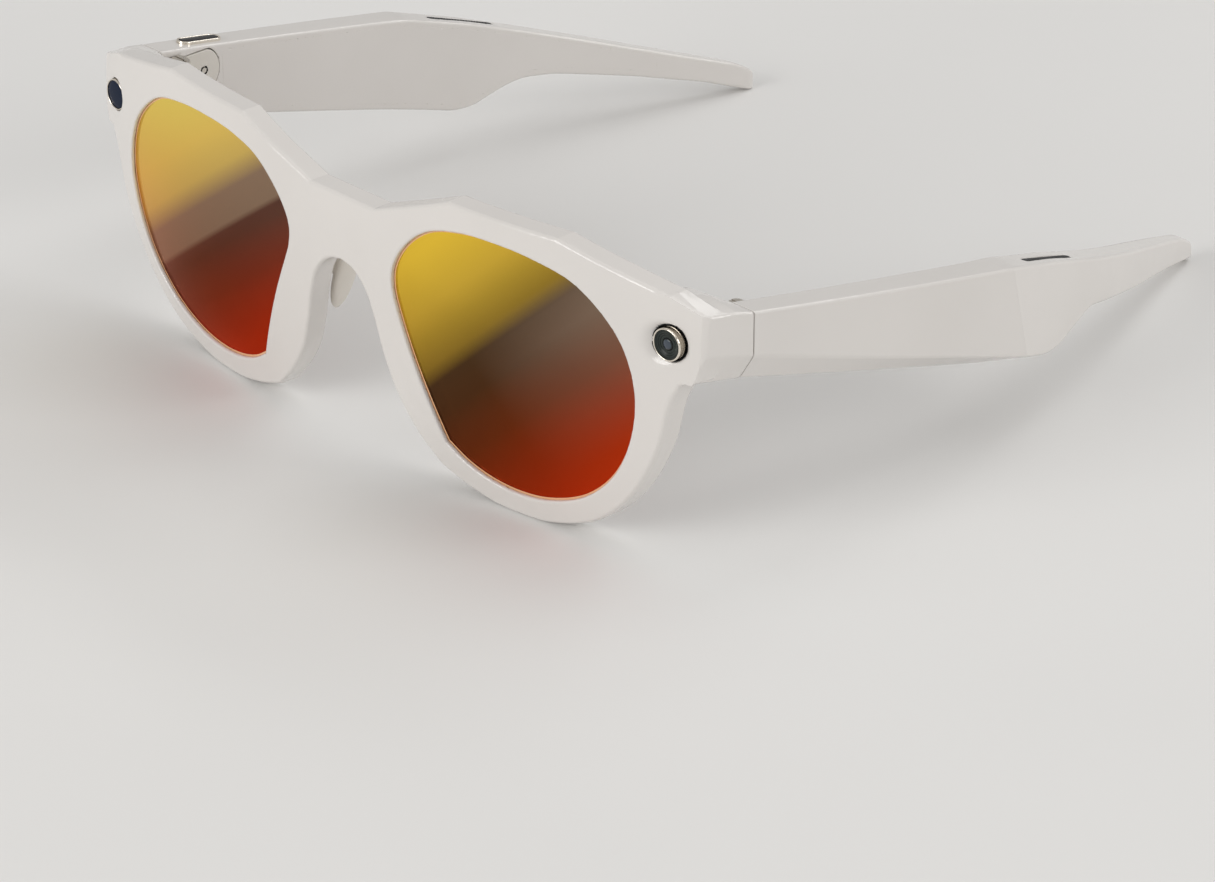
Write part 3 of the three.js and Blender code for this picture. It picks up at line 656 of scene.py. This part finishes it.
def button_rim_field(x, y, z):
    along, across, up = BUTTON_RAIL.local(x, y, z)
    outer = pill(along, across, BUTTON_LENGTH + 1.05, BUTTON_WIDTH + 1.0)
    inner = -pill(along, across, BUTTON_LENGTH + 0.25, BUTTON_WIDTH + 0.25)
    return round_and(0.16, outer, inner, up - 0.5, -1.2 - up)


def speaker_mesh_field(x, y, z):
    """A grille with two rows of small holes."""
    along, across, up = SLOT_RAIL.local(x, y, z)
    edge = pill(along, across, SLOT_LENGTH - 0.5, SLOT_WIDTH - 0.3)
    strip = round_and(0.08, edge, up + GRILLE_SUNK, -1.2 - up)
    row = np.abs(across) - GRILLE_ROW
    column = (along + GRILLE_PITCH * 0.25 * np.sign(across)) / GRILLE_PITCH
    hole = np.hypot((column - np.round(column)) * GRILLE_PITCH, row) - GRILLE_HOLE
    return np.maximum(strip, -np.maximum(hole, abs(along) - SLOT_LENGTH / 2 + 1.2))


# ---- from a field to a mesh ----
NORMAL_REACH = 0.02
SHADE_REACH = 0.03
CORNER_HOLD = 0.05


def gradient(field, points, reach):
    columns = []
    for axis in range(3):
        step = np.zeros(3)
        step[axis] = reach
        ahead = field(*(points + step).T)
        behind = field(*(points - step).T)
        columns.append((ahead - behind) / (2 * reach))
    return np.stack(columns, 1)


def corner_of(normals_sum, offsets, middles):
    """The point that best fits the planes round each cell, kept near their middle."""
    systems = normals_sum + CORNER_HOLD * np.eye(3)
    return middles + np.linalg.solve(systems, offsets[:, :, None])[:, :, 0]


def net(field, low, high, step):
    """Dual contouring: one vertex in each grid cell that the surface crosses, set on the surface's
    edges and corners."""
    step = np.array(step, float)
    axes = [np.arange(a - 1.5 * s, b + 2.5 * s, s) for a, b, s in zip(low, high, step)]
    origin = np.array([axis[0] for axis in axes])
    values = np.broadcast_to(field(*np.ix_(*axes)), [len(axis) for axis in axes])
    grid = tuple(n - 1 for n in values.shape)
    cells = []
    points = []
    quads = []
    for axis in range(3):
        b, c = (axis + 1) % 3, (axis + 2) % 3
        near = np.moveaxis(values, (axis, b, c), (0, 1, 2))[:-1, 1:-1, 1:-1]
        far = np.moveaxis(values, (axis, b, c), (0, 1, 2))[1:, 1:-1, 1:-1]
        found = np.argwhere((near < 0) != (far < 0))
        start = near[tuple(found.T)]
        part = start / (start - far[tuple(found.T)])
        spot = np.zeros(found.shape)
        spot[:, axis] = found[:, 0] + part
        spot[:, b] = found[:, 1] + 1
        spot[:, c] = found[:, 2] + 1
        points.append(origin + spot * step)
        ring = np.zeros((len(found), 4, 3), int)
        ring[:, :, axis] = found[:, :1]
        ring[:, :, b] = found[:, 1:2] + [0, 1, 1, 0]
        ring[:, :, c] = found[:, 2:3] + [0, 0, 1, 1]
        cells.append(ring)
        quads.append(np.where((start < 0)[:, None, None], ring, ring[:, ::-1]))
    points = np.vstack(points)
    cells = np.vstack(cells)
    quads = np.vstack(quads)
    flat = np.ravel_multi_index(tuple(np.moveaxis(cells, 2, 0)), grid)
    used, number = np.unique(flat, return_inverse=True)
    number = number.reshape(flat.shape)
    count = np.bincount(number.ravel(), minlength=len(used))

    def gathered(per_point):
        return np.bincount(number.ravel(), np.repeat(per_point, 4), len(used))

    normals = unit(gradient(field, points, NORMAL_REACH))
    middles = np.stack([gathered(points[:, k]) for k in range(3)], 1) / count[:, None]
    level = (normals * points).sum(1)
    products = [[gathered(normals[:, i] * normals[:, j]) for j in range(3)] for i in range(3)]
    products = np.moveaxis(np.array(products), 2, 0)
    reached = np.stack([gathered(normals[:, k] * level) for k in range(3)], 1)
    offsets = reached - (products @ middles[:, :, None])[:, :, 0]
    corners = corner_of(products, offsets, middles)
    corners = middles + np.clip(corners - middles, -step, step)
    for _ in range(2):
        slopes = gradient(field, corners, NORMAL_REACH)
        lift = field(*corners.T) / np.maximum((slopes**2).sum(1), 0.3)
        corners = corners - slopes * np.clip(lift, -0.1, 0.1)[:, None]
    flat_quads = np.ravel_multi_index(tuple(np.moveaxis(quads, 2, 0)), grid)
    faces = np.searchsorted(used, flat_quads)
    return corners, faces, face_normals(field, corners, faces)


def unit(vectors):
    return vectors / np.maximum(np.linalg.norm(vectors, axis=-1, keepdims=True), 1e-9)


def face_normals(field, points, faces):
    """The surface's own normal at each corner of each face, read a little way into the face."""
    corners = points[faces]
    inward = corners + 0.35 * (corners.mean(1, keepdims=True) - corners)
    return unit(gradient(field, inward.reshape(-1, 3), SHADE_REACH)).reshape(corners.shape)


def linked(name, data):
    made = bpy.data.objects.new(name, data)
    bpy.context.scene.collection.objects.link(made)
    return made


def make_mesh(name, points, faces, normals, material):
    data = bpy.data.meshes.new(name)
    data.from_pydata(placed(points).tolist(), [], faces.tolist())
    data.polygons.foreach_set("use_smooth", np.ones(len(faces), bool))
    data.normals_split_custom_set(turned(normals.reshape(-1, 3)).tolist())
    data.materials.append(material)
    data.update()
    return linked(name, data)


def moulded(name, field, low, high, step, material, flip=False):
    """A piece meshed from its field; flip makes it on the wearer's right instead."""
    points, faces, normals = net(field, low, high, step)
    if flip:
        points = points * [-1, 1, 1]
        normals = normals[:, ::-1] * [-1, 1, 1]
        faces = faces[:, ::-1]
    return make_mesh(name, points, faces, normals, material)


def stand_for(piece, node, body):
    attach(piece, body)
    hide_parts(node)
    return piece


def sharpen(piece, angle=0.6):
    """Shades a mesh smooth but keeps the edges that turn by more than the angle."""
    shape = bmesh.new()
    shape.from_mesh(piece.data)
    bmesh.ops.recalc_face_normals(shape, faces=shape.faces)
    for face in shape.faces:
        face.smooth = True
    for edge in shape.edges:
        edge.smooth = edge.calc_face_angle(0.0) < angle
    shape.to_mesh(piece.data)
    shape.free()
    return piece


# ---- node trees ----
def new_material(name):
    material = bpy.data.materials.new(name)
    material.use_nodes = True
    nodes = material.node_tree.nodes
    nodes.clear()
    output = nodes.new("ShaderNodeOutputMaterial")
    shader = nodes.new("ShaderNodeBsdfPrincipled")
    material.node_tree.links.new(shader.outputs[0], output.inputs[0])
    return material, nodes, material.node_tree.links, shader


def noise_from(nodes, links, scale, detail=3.0):
    """Noise in object space; scale is in features per metre."""
    where = nodes.new("ShaderNodeTexCoord")
    noise = nodes.new("ShaderNodeTexNoise")
    noise.inputs["Scale"].default_value = scale
    noise.inputs["Detail"].default_value = detail
    links.new(where.outputs["Object"], noise.inputs["Vector"])
    return noise.outputs[0]


def ramp_node(nodes, links, source, stops, kind="EASE"):
    made = nodes.new("ShaderNodeValToRGB")
    made.color_ramp.interpolation = kind
    elements = made.color_ramp.elements
    while len(elements) < len(stops):
        elements.new(0.5)
    for element, (place, colour) in zip(elements, stops):
        element.position = place
        element.color = (*colour, 1.0)
    links.new(source, made.inputs[0])
    return made.outputs[0]


def toned(nodes, links, shader, scale, dark, light):
    """Colour drifts between two tones."""
    drift = noise_from(nodes, links, scale)
    tones = ramp_node(nodes, links, drift, [(0.3, dark), (0.7, light)])
    links.new(tones, shader.inputs["Base Color"])


def spread(nodes, links, source, low, high):
    """Turns noise, which runs from about 0.3 to 0.7, into a value from low to high."""
    made = nodes.new("ShaderNodeMapRange")
    made.inputs["From Min"].default_value = 0.3
    made.inputs["From Max"].default_value = 0.7
    made.inputs["To Min"].default_value = low
    made.inputs["To Max"].default_value = high
    links.new(source, made.inputs["Value"])
    return made.outputs[0]


def bumped(nodes, links, shader, source, strength, distance):
    bump = nodes.new("ShaderNodeBump")
    bump.inputs["Strength"].default_value = strength
    bump.inputs["Distance"].default_value = distance
    links.new(source, bump.inputs["Height"])
    links.new(bump.outputs[0], shader.inputs["Normal"])


def surface(name, colours, rough, metallic=0.0, scale=60.0, grain=900.0, bump=0.1, depth=0.00003,
            coat=0.0, coat_rough=0.05, specular=0.5):
    """Two tones of colour, with a fine grain in the roughness and the bump."""
    material, nodes, links, shader = new_material(name)
    toned(nodes, links, shader, scale, *colours)
    fine = noise_from(nodes, links, grain, 4.0)
    links.new(spread(nodes, links, fine, *rough), shader.inputs["Roughness"])
    bumped(nodes, links, shader, fine, bump, depth)
    shader.inputs["Metallic"].default_value = metallic
    shader.inputs["Specular IOR Level"].default_value = specular
    shader.inputs["Coat Weight"].default_value = coat
    shader.inputs["Coat Roughness"].default_value = coat_rough
    return material


def measured(nodes, links, centre, direction, low, high):
    """Runs from 0 to 1 between two distances, in mm, from a centre along a direction in X and Z."""
    where = nodes.new("ShaderNodeTexCoord")
    along = nodes.new("ShaderNodeVectorMath")
    along.operation = "DOT_PRODUCT"
    along.inputs[1].default_value = (direction[0], 0.0, direction[1])
    links.new(where.outputs["Object"], along.inputs[0])
    zero = direction[0] * centre[0] + direction[1] * centre[2]
    made = nodes.new("ShaderNodeMapRange")
    made.inputs["From Min"].default_value = zero + low * MM
    made.inputs["From Max"].default_value = zero + high * MM
    links.new(along.outputs["Value"], made.inputs["Value"])
    return made.outputs[0]


def see_through(nodes, links, shader, colour, cover):
    """Lets light of one colour pass where the surface doesn't cover."""
    clear = nodes.new("ShaderNodeBsdfTransparent")
    clear.inputs["Color"].default_value = colour
    blend = nodes.new("ShaderNodeMixShader")
    blend.inputs[0].default_value = cover
    links.new(clear.outputs[0], blend.inputs[1])
    links.new(shader.outputs[0], blend.inputs[2])
    links.new(blend.outputs[0], nodes["Material Output"].inputs[0])


def lens_coating_and_painted_reflection(name, side_name, sign):
    """A mirror coating: yellow towards the brow, then brown, and red towards the cheek, with a painted
    reflection in its slanted yellow-to-brown edge and a pale painted sheen on the brown.
    """
    material, nodes, links, shader = new_material(name)
    centre = placed((sign * LENS_CENTRE[0], 0.0, LENS_CENTRE[1]))
    # the slanted, sharp yellow-to-brown edge in these bands is a painted reflection; the run from yellow
    # to red is the coating's own
    slant, edge, bands = COATING_AND_PAINTED_REFLECTION[side_name]
    first, last = bands[0][0], bands[-1][0]
    across = measured(nodes, links, centre, slant, edge + first, edge + last)
    tinted = [((place - first) / (last - first), colour) for place, colour in bands]
    # a painted pale reflection laid over the brown, fading in along the bands
    sheen = measured(nodes, links, centre, (slant[1], -slant[0]), PAINTED_SHEEN_START, PAINTED_SHEEN_END)
    painted_sheen_stops = [((place - first) / (last - first), (share,) * 3) for place, share in PAINTED_SHEEN[side_name]]
    share = nodes.new("ShaderNodeMath")
    share.operation = "MULTIPLY"
    links.new(sheen, share.inputs[0])
    links.new(ramp_node(nodes, links, across, painted_sheen_stops, "LINEAR"), share.inputs[1])
    mix = nodes.new("ShaderNodeMix")
    mix.data_type = "RGBA"
    mix.inputs[7].default_value = PAINTED_SHEEN_COLOUR
    links.new(share.outputs[0], mix.inputs[0])
    links.new(ramp_node(nodes, links, across, tinted, "LINEAR"), mix.inputs[6])
    links.new(mix.outputs[2], shader.inputs["Base Color"])
    fine = noise_from(nodes, links, 500.0)
    links.new(spread(nodes, links, fine, 0.07, 0.12), shader.inputs["Roughness"])
    bumped(nodes, links, shader, fine, 0.02, 0.00001)
    shader.inputs["Metallic"].default_value = 1.0
    shader.inputs["Specular Tint"].default_value = COATING_GLANCE
    see_through(nodes, links, shader, COATING_THROUGH, COATING_COVER)
    return material


def lens_tint(name):
    """The lens behind its coating: a clear brown tint."""
    material, nodes, links, shader = new_material(name)
    toned(nodes, links, shader, 40.0, (0.10, 0.05, 0.03), (0.13, 0.065, 0.035))
    fine = noise_from(nodes, links, 500.0)
    links.new(spread(nodes, links, fine, 0.04, 0.08), shader.inputs["Roughness"])
    see_through(nodes, links, shader, TINT_THROUGH, TINT_COVER)
    return material


GLOSS = surface("frame_gloss", [(0.70, 0.672, 0.645), (0.735, 0.707, 0.68)], (0.22, 0.27),
                scale=25.0, grain=350.0, bump=0.03, depth=0.00001, coat=0.45, coat_rough=0.12)
PAD = surface("pad_silicone", [(0.70, 0.66, 0.60), (0.75, 0.71, 0.65)], (0.42, 0.55), grain=2500.0)
GOLD = surface("contact_gold", [(0.72, 0.50, 0.20), (0.80, 0.58, 0.26)], (0.18, 0.32), metallic=1.0)
RING = surface("ring_steel", [(0.80, 0.74, 0.65), (0.88, 0.82, 0.73)], (0.10, 0.18),
               metallic=1.0, grain=3000.0)
# a darker copy of the ring steel for the bezel's side: painted shade for its place in the bore
SHADED_BARREL_STEEL = surface("barrel_steel_painted_shade", [(0.36, 0.32, 0.26), (0.44, 0.39, 0.32)], (0.22, 0.32),
                 metallic=1.0, grain=3000.0)
STEEL = surface("hinge_steel", [(0.62, 0.58, 0.52), (0.70, 0.66, 0.60)], (0.25, 0.38),
                metallic=1.0, grain=2500.0)
PAINTED = surface("leaf_paint", [(0.67, 0.64, 0.585), (0.71, 0.68, 0.63)], (0.32, 0.42), grain=2500.0)
BLACK = surface("black_gloss", [(0.006, 0.006, 0.007), (0.012, 0.012, 0.014)], (0.2, 0.3), specular=0.15)
DEEP = surface("barrel_black", [(0.004, 0.004, 0.005), (0.009, 0.009, 0.010)], (0.45, 0.6))
GLASS = surface("window_glass", [(0.005, 0.010, 0.026), (0.009, 0.016, 0.036)], (0.08, 0.14),
                specular=0.08)
DIFFUSER = surface("light_diffuser", [(0.70, 0.70, 0.68), (0.78, 0.78, 0.75)], (0.45, 0.6))
BOARD = surface("circuit", [(0.012, 0.07, 0.04), (0.02, 0.10, 0.055)], (0.35, 0.5), scale=400.0)
FOIL = surface("battery_foil", [(0.45, 0.46, 0.48), (0.58, 0.59, 0.61)], (0.3, 0.5),
               metallic=0.8, scale=200.0)
CLOTH = surface("speaker_cloth", [(0.012, 0.012, 0.013), (0.03, 0.03, 0.032)], (0.5, 0.7),
                grain=4000.0, bump=0.4)
AMBER = surface("flex_amber", [(0.36, 0.13, 0.03), (0.45, 0.18, 0.05)], (0.3, 0.45), scale=300.0)
LENS_TINT = lens_tint("lens_tint")
# bright orange on the lens's outer band: a painted highlight for the light its edge catches
LENS_EDGE_PAINTED_LIGHT = surface("lens_edge_painted_light", [(0.86, 0.50, 0.27), (0.90, 0.56, 0.33)], (0.3, 0.4))
LENS_HEART = surface("lens_heart_glass", [(0.030, 0.042, 0.062), (0.055, 0.070, 0.092)], (0.1, 0.18))
LENS_RING = surface("lens_ring_glass", [(0.020, 0.026, 0.022), (0.033, 0.042, 0.038)], (0.2, 0.3),
                    specular=0.15)


# ---- the front ----
def make_front():
    piece = moulded("front_shell", front_field, (-75.2, -2.2, -46.0), (75.2, 19.2, 7.2),
                    (0.42, 0.42, 0.42), GLOSS)
    stand_for(piece, "front_frame", "front")
    cover = moulded("brow_strip", brow_cover_field, (-62, 2.0, -4.5), (62, 14.0, 6.0),
                    (0.35, 0.3, 0.3), GLOSS)
    stand_for(cover, "brow_cover", "front")


def opening_points(grow):
    """Evenly spaced points round the lens opening, moved outwards from its middle."""
    steps = np.linalg.norm(np.diff(OPENING, axis=0), axis=1)
    along = np.concatenate([[0.0], np.cumsum(steps)])
    at = np.linspace(0, along[-1], LENS_STEPS, endpoint=False)
    ring = np.stack([np.interp(at, along, OPENING[:, 0]), np.interp(at, along, OPENING[:, 1])], 1)
    offset = ring - LENS_CENTRE
    reach = np.linalg.norm(offset, axis=1)[:, None]
    return ring + offset / reach * grow


def make_lens(side_name, sign):
    """A thin curved pane whose front carries the coating."""
    rings = LENS_RINGS
    count = LENS_STEPS
    rim = opening_points(LENS_REBATE - 0.25)[::-1]
    lit = opening_points(-PAINTED_EDGE_LIGHT_BAND)[::-1]
    points = []
    for depth in (LENS_FRONT, LENS_BACK):
        points.append([(LENS_CENTRE[0], depth, LENS_CENTRE[1])])
        for ring in range(1, rings + 1):
            flat = rim if ring == rings else LENS_CENTRE + (lit - LENS_CENTRE) * ring / (rings - 1)
            points.append(np.stack([flat[:, 0], np.full(count, depth), flat[:, 1]], 1))
    points = np.vstack(points)
    points[:, 1] += face_y(points[:, 0], points[:, 2])
    layer = 1 + rings * count
    faces = []
    for base in (0, layer):
        for k in range(count):
            here = base + 1 + k
            ahead = base + 1 + (k + 1) % count
            loops = [(base, here, ahead)]
            for step in range(0, (rings - 1) * count, count):
                loops.append((here + step, here + step + count, ahead + step + count, ahead + step))
            faces += [loop[::-1] if base else loop for loop in loops]
    outer = 1 + (rings - 1) * count
    for k in range(count):
        n = (k + 1) % count
        faces.append((outer + n, outer + k, layer + outer + k, layer + outer + n))
    points[:, 0] *= sign
    data = bpy.data.meshes.new("pane_" + side_name)
    data.from_pydata(placed(points).tolist(), [], faces)
    data.materials.append(lens_coating_and_painted_reflection("lens_mirror_painted_reflection_" + side_name, side_name, sign))
    data.materials.append(LENS_TINT)
    data.materials.append(LENS_EDGE_PAINTED_LIGHT)
    coated, tinted, edge = 0, 1, 2
    kinds = [coated if n < count * rings else tinted for n in range(len(faces))]
    # the outermost front ring carries the painted edge highlight
    kinds[rings - 1:count * rings:rings] = [edge] * count
    data.polygons.foreach_set("material_index", kinds)
    piece = sharpen(linked("pane_" + side_name, data))
    stand_for(piece, "lens_" + side_name, "front")


def lathe(name, profile, sign, materials):
    """A turned piece on the camera's axis; the profile is rows of (radius, depth, material number)."""
    steps = 96
    origin = np.array([EYE_X, face_y(EYE_X, EYE_Z) - EYE_PROUD, EYE_Z])
    axis = np.array([-math.sin(EYE_YAW), math.cos(EYE_YAW), 0.0])
    lateral = np.array([math.cos(EYE_YAW), math.sin(EYE_YAW), 0.0])
    angles = np.linspace(0, 2 * math.pi, steps, endpoint=False)
    rows = []
    for radius, depth, _ in profile:
        ring = np.outer(np.cos(angles), lateral) + np.outer(np.sin(angles), (0, 0, 1))
        rows.append(origin + axis * depth + ring * radius)
    points = np.vstack(rows)
    points[:, 0] *= sign
    faces = []
    kinds = []
    for r in range(len(profile) - 1):
        for k in range(steps):
            n = (k + 1) % steps
            faces.append((r * steps + k, r * steps + n, (r + 1) * steps + n, (r + 1) * steps + k))
            kinds.append(profile[r][2])
    data = bpy.data.meshes.new(name)
    data.from_pydata(placed(points).tolist(), [], faces)
    for material in materials:
        data.materials.append(material)
    data.polygons.foreach_set("material_index", kinds)
    shape = bmesh.new()
    shape.from_mesh(data)
    bmesh.ops.remove_doubles(shape, verts=shape.verts, dist=1e-7)
    shape.to_mesh(data)
    shape.free()
    return sharpen(linked(name, data), 0.5)


def arc(centre, radius, start, end, count):
    """Profile rows on part of a circle, in the first material; angles in degrees."""
    turns = np.radians(np.linspace(start, end, count))
    return [(centre[0] + radius * math.cos(a), centre[1] + radius * math.sin(a), 0) for a in turns]


def sunk(profile, depth):
    """The same profile with what is nearest the front set further in."""
    nearest = 0.7
    return [(radius, place + depth if place < nearest else place, kind) for radius, place, kind in profile]


def make_eye(prefix, sign, camera):
    """The bezel, glass and black sleeve of the camera, or of the light on the other side."""
    inner = EYE_RING - (0.26 if camera else 0.2)
    set_in = 0.0 if camera else LIGHT_SUNK
    ring = [(inner, 2.6, 0), (inner, 0.3, 0), *arc((inner + 0.1, 0.14), 0.12, 200, 270, 5),
            *arc((EYE_RING - 0.14, 0.16), 0.14, 270, 345, 6), (EYE_RING, 0.3, 1), (EYE_RING, 0.95, 1),
            (EYE_RING - 0.09, 1.0, 1), (EYE_RING - 0.09, 1.15, 1), (EYE_RING, 1.2, 1), (EYE_RING, 2.6, 1),
            (inner, 2.6, 0)]
    bezel = lathe(prefix + "_bezel", sunk(ring, set_in), sign, [RING, SHADED_BARREL_STEEL])
    stand_for(bezel, prefix + "_ring", "front")
    edge = inner - 0.03
    if camera:
        window = [(0.0, 0.20, 2), (0.4, 0.23, 2), (0.78, 0.32, 0), (0.9, 0.42, 1), (1.0, 0.52, 1),
                  (1.08, 0.46, 0), (1.42, 0.46, 1), (1.5, 0.40, 0), (1.78, 0.34, 1), (1.86, 0.28, 0),
                  (2.12, 0.24, 1), (2.2, 0.2, 0), (edge - 0.05, 0.2, 0), (edge, 0.26, 0),
                  (edge, 1.0, 0), (0.0, 1.0, 0)]
        faces = [LENS_RING, BLACK, LENS_HEART]
    else:
        window = [(0.0, 0.13, 0), (0.8, 0.14, 0), (1.6, 0.17, 0), (edge - 0.12, 0.21, 0),
                  (edge - 0.03, 0.25, 0), (edge, 0.32, 0), (edge, 1.0, 0), (0.0, 1.0, 0)]
        faces = [GLASS]
    glass = lathe(prefix + "_glass", sunk(window, set_in), sign, faces)
    stand_for(glass, prefix + "_window", "front")
    bore_radius = EYE_BORE if camera else LIGHT_BORE
    gasket = moulded(prefix + "_gasket", lambda x, y, z: gasket_field(x, y, z, bore_radius),
                     (64.0, 5.5, -9.0), (72.0, 14.0, -1.5), (0.14, 0.2, 0.14), DEEP, sign < 0)
    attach(gasket, "front")


# ---- small parts, made for each side ----
def make_side(side_name, sign):
    """The pieces that both sides have. Low and high bound the space where a field is sampled."""
    flip = sign < 0
    front, temple = "front", "temple_" + side_name

    def part(name, field, low, high, step, material, node, body, slot):
        piece = moulded(f"{name}_{side_name}", field, low, high, (step, step, step), material, flip)
        return stand_for(piece, f"{node}_{side_name}", body)

    pad = part("pad", nose_pad_field, (5.5, 4.2, -27.5), (13.5, 13.5, -11.5), 0.3, PAD,
               "nose_pad", front, "pad_silicone")
    part("contact", contact_field, (1.8, 1.0, -8.8), (5.2, 4.8, -5.4), 0.16, GOLD,
         "charge_contact", front, "contact_gold")
    part("bay_lid", bay_cover_field, (65.4, 14.2, -9.6), (69.3, 15.7, -3.0), 0.2, GLOSS,
         "bay_cover", front, "frame_gloss")
    part("front_leaf", front_leaf_field, (66.2, 15.7, -11.2), (70.4, 23.8, -3.0), 0.16, STEEL,
         "hinge_front_leaf", front, "hinge_steel")
    part("temple_leaf", temple_leaf_field, (66.2, 19.6, -11.4), (71.2, 32.3, -3.6), 0.18, PAINTED,
         "hinge_temple_leaf", temple, "frame_gloss")
    part("panel", cover_field, (57, COVER_START, -36.5), (73, COVER_END, -4), 0.45, GLOSS,
         "temple_cover", temple, "frame_gloss")
    housing = moulded("shell_" + side_name, lambda x, y, z: housing_field(x, y, z, flip),
                      (50.5, JOINT_Y, -40.6), (77.2, TEMPLE_END, -0.8), (0.32, 0.6, 0.32), GLOSS, flip)
    stand_for(housing, "temple_housing_" + side_name, temple)
    grille = moulded("grille_" + side_name, speaker_mesh_field, (70, 81, -19), (76, 98, -11),
                     (0.12, 0.12, 0.12), CLOTH, flip)
    stand_for(grille, "speaker_mesh_" + side_name, temple)


def make_button():
    """The capture button and its rim, on the wearer's right only."""
    low, high = (69.5, 24.0, -5.6), (76.5, 36.0, -1.0)
    button = moulded("shutter_pill", button_field, low, high, (0.16, 0.2, 0.12), BLACK, True)
    stand_for(button, "capture_button", "capture_button")
    rim = moulded("shutter_bezel", button_rim_field, low, high, (0.11, 0.16, 0.1), RING, True)
    stand_for(rim, "capture_rim", "temple_right")


# ---- CAD nodes that stay, with their materials ----
def finish_nodes(material, *names):
    for name in names:
        node = frame["nodes"][name]
        for slot in node.material_slots:
            slot.material = material


def both(name):
    return f"{name}_left", f"{name}_right"


def finish_kept_nodes():
    finish_nodes(AMBER, "front_flex", "touch_strip")
    finish_nodes(BOARD, "camera_board", "light_board", *both("circuit_board"))
    finish_nodes(FOIL, *both("battery"), *both("microphone"))
    finish_nodes(BLACK, *both("speaker"), "capture_switch")
    finish_nodes(DEEP, "camera_barrel")
    finish_nodes(DIFFUSER, "light_guide")
    finish_nodes(STEEL, *both("hinge_pin"), *both("hinge_front_screw"), *both("hinge_temple_screw"))


# ---- floor, lights and camera ----
CAMERA_AZIMUTH = math.radians(46.627)
CAMERA_ELEVATION = math.radians(26.738)
CAMERA_TARGET = (62.307, 0.0, -21.360)
CAMERA_DISTANCE = 733.4
FOCAL_LENGTH = 141.32444
SENSOR_WIDTH = 36.0
FLOOR_SIZE = 4.0
WARM_WHITE = (1.0, 0.99, 0.975)
WHITE = (1.0, 1.0, 1.0)


def make_camera():
    sin_a, cos_a = math.sin(CAMERA_AZIMUTH), math.cos(CAMERA_AZIMUTH)
    sin_e, cos_e = math.sin(CAMERA_ELEVATION), math.cos(CAMERA_ELEVATION)
    back = np.array([sin_a * cos_e, -cos_a * cos_e, sin_e])
    right = np.array([cos_a, sin_a, 0.0])
    up = np.cross(back, right)
    axes = [Vector(turned(axis)) for axis in (right, up, back)]
    place = Vector(placed(np.array(CAMERA_TARGET) + back * CAMERA_DISTANCE))
    data = bpy.data.cameras.new("camera")
    data.sensor_width = SENSOR_WIDTH
    data.lens = FOCAL_LENGTH
    data.clip_start = 0.01
    camera = linked("camera", data)
    camera.matrix_world = Matrix.Translation(place) @ Matrix(axes).transposed().to_4x4()
    bpy.context.scene.camera = camera


def area_light(name, place, aim, size, power, colour):
    data = bpy.data.lights.new(name, "AREA")
    data.shape = "RECTANGLE"
    data.size, data.size_y = size
    data.energy = power
    data.color = colour
    light = linked(name, data)
    light.location = place
    light.rotation_euler = (Vector(aim) - Vector(place)).to_track_quat("-Z", "Y").to_euler()


def make_studio():
    material, nodes, links, shader = new_material("floor_paper")
    toned(nodes, links, shader, 6.0, (0.765, 0.76, 0.75), (0.785, 0.78, 0.77))
    shader.inputs["Roughness"].default_value = 0.9
    shape = bmesh.new()
    bmesh.ops.create_grid(shape, x_segments=8, y_segments=8, size=FLOOR_SIZE)
    data = bpy.data.meshes.new("floor")
    shape.to_mesh(data)
    shape.free()
    data.materials.append(material)
    floor = linked("floor", data)
    world = bpy.data.worlds.new("studio")
    world.use_nodes = True
    background = world.node_tree.nodes["Background"]
    background.inputs["Color"].default_value = (1.0, 0.985, 0.965, 1.0)
    background.inputs["Strength"].default_value = 0.45
    bpy.context.scene.world = world
    middle = (0.02, 0.0, 0.02)
    area_light("key", (-0.2, -1.75, 0.8), middle, (1.2, 0.9), 17.0, WARM_WHITE)
    area_light("side", (1.5, 0.75, 0.7), middle, (0.9, 0.7), 8.0, WARM_WHITE)
    area_light("top", (0.3, 0.5, 1.6), middle, (1.4, 1.0), 5.0, WHITE)
    area_light("back_rim", (0.1, 1.6, 1.3), middle, (1.6, 0.3), 4.0, WHITE)
    bpy.context.scene.view_settings.view_transform = "Standard"


make_front()
for side_name, sign in (("left", 1), ("right", -1)):
    make_lens(side_name, sign)
    make_side(side_name, sign)
make_eye("camera", 1, camera=True)
make_eye("light", -1, camera=False)
make_button()
finish_kept_nodes()
make_studio()
make_camera()
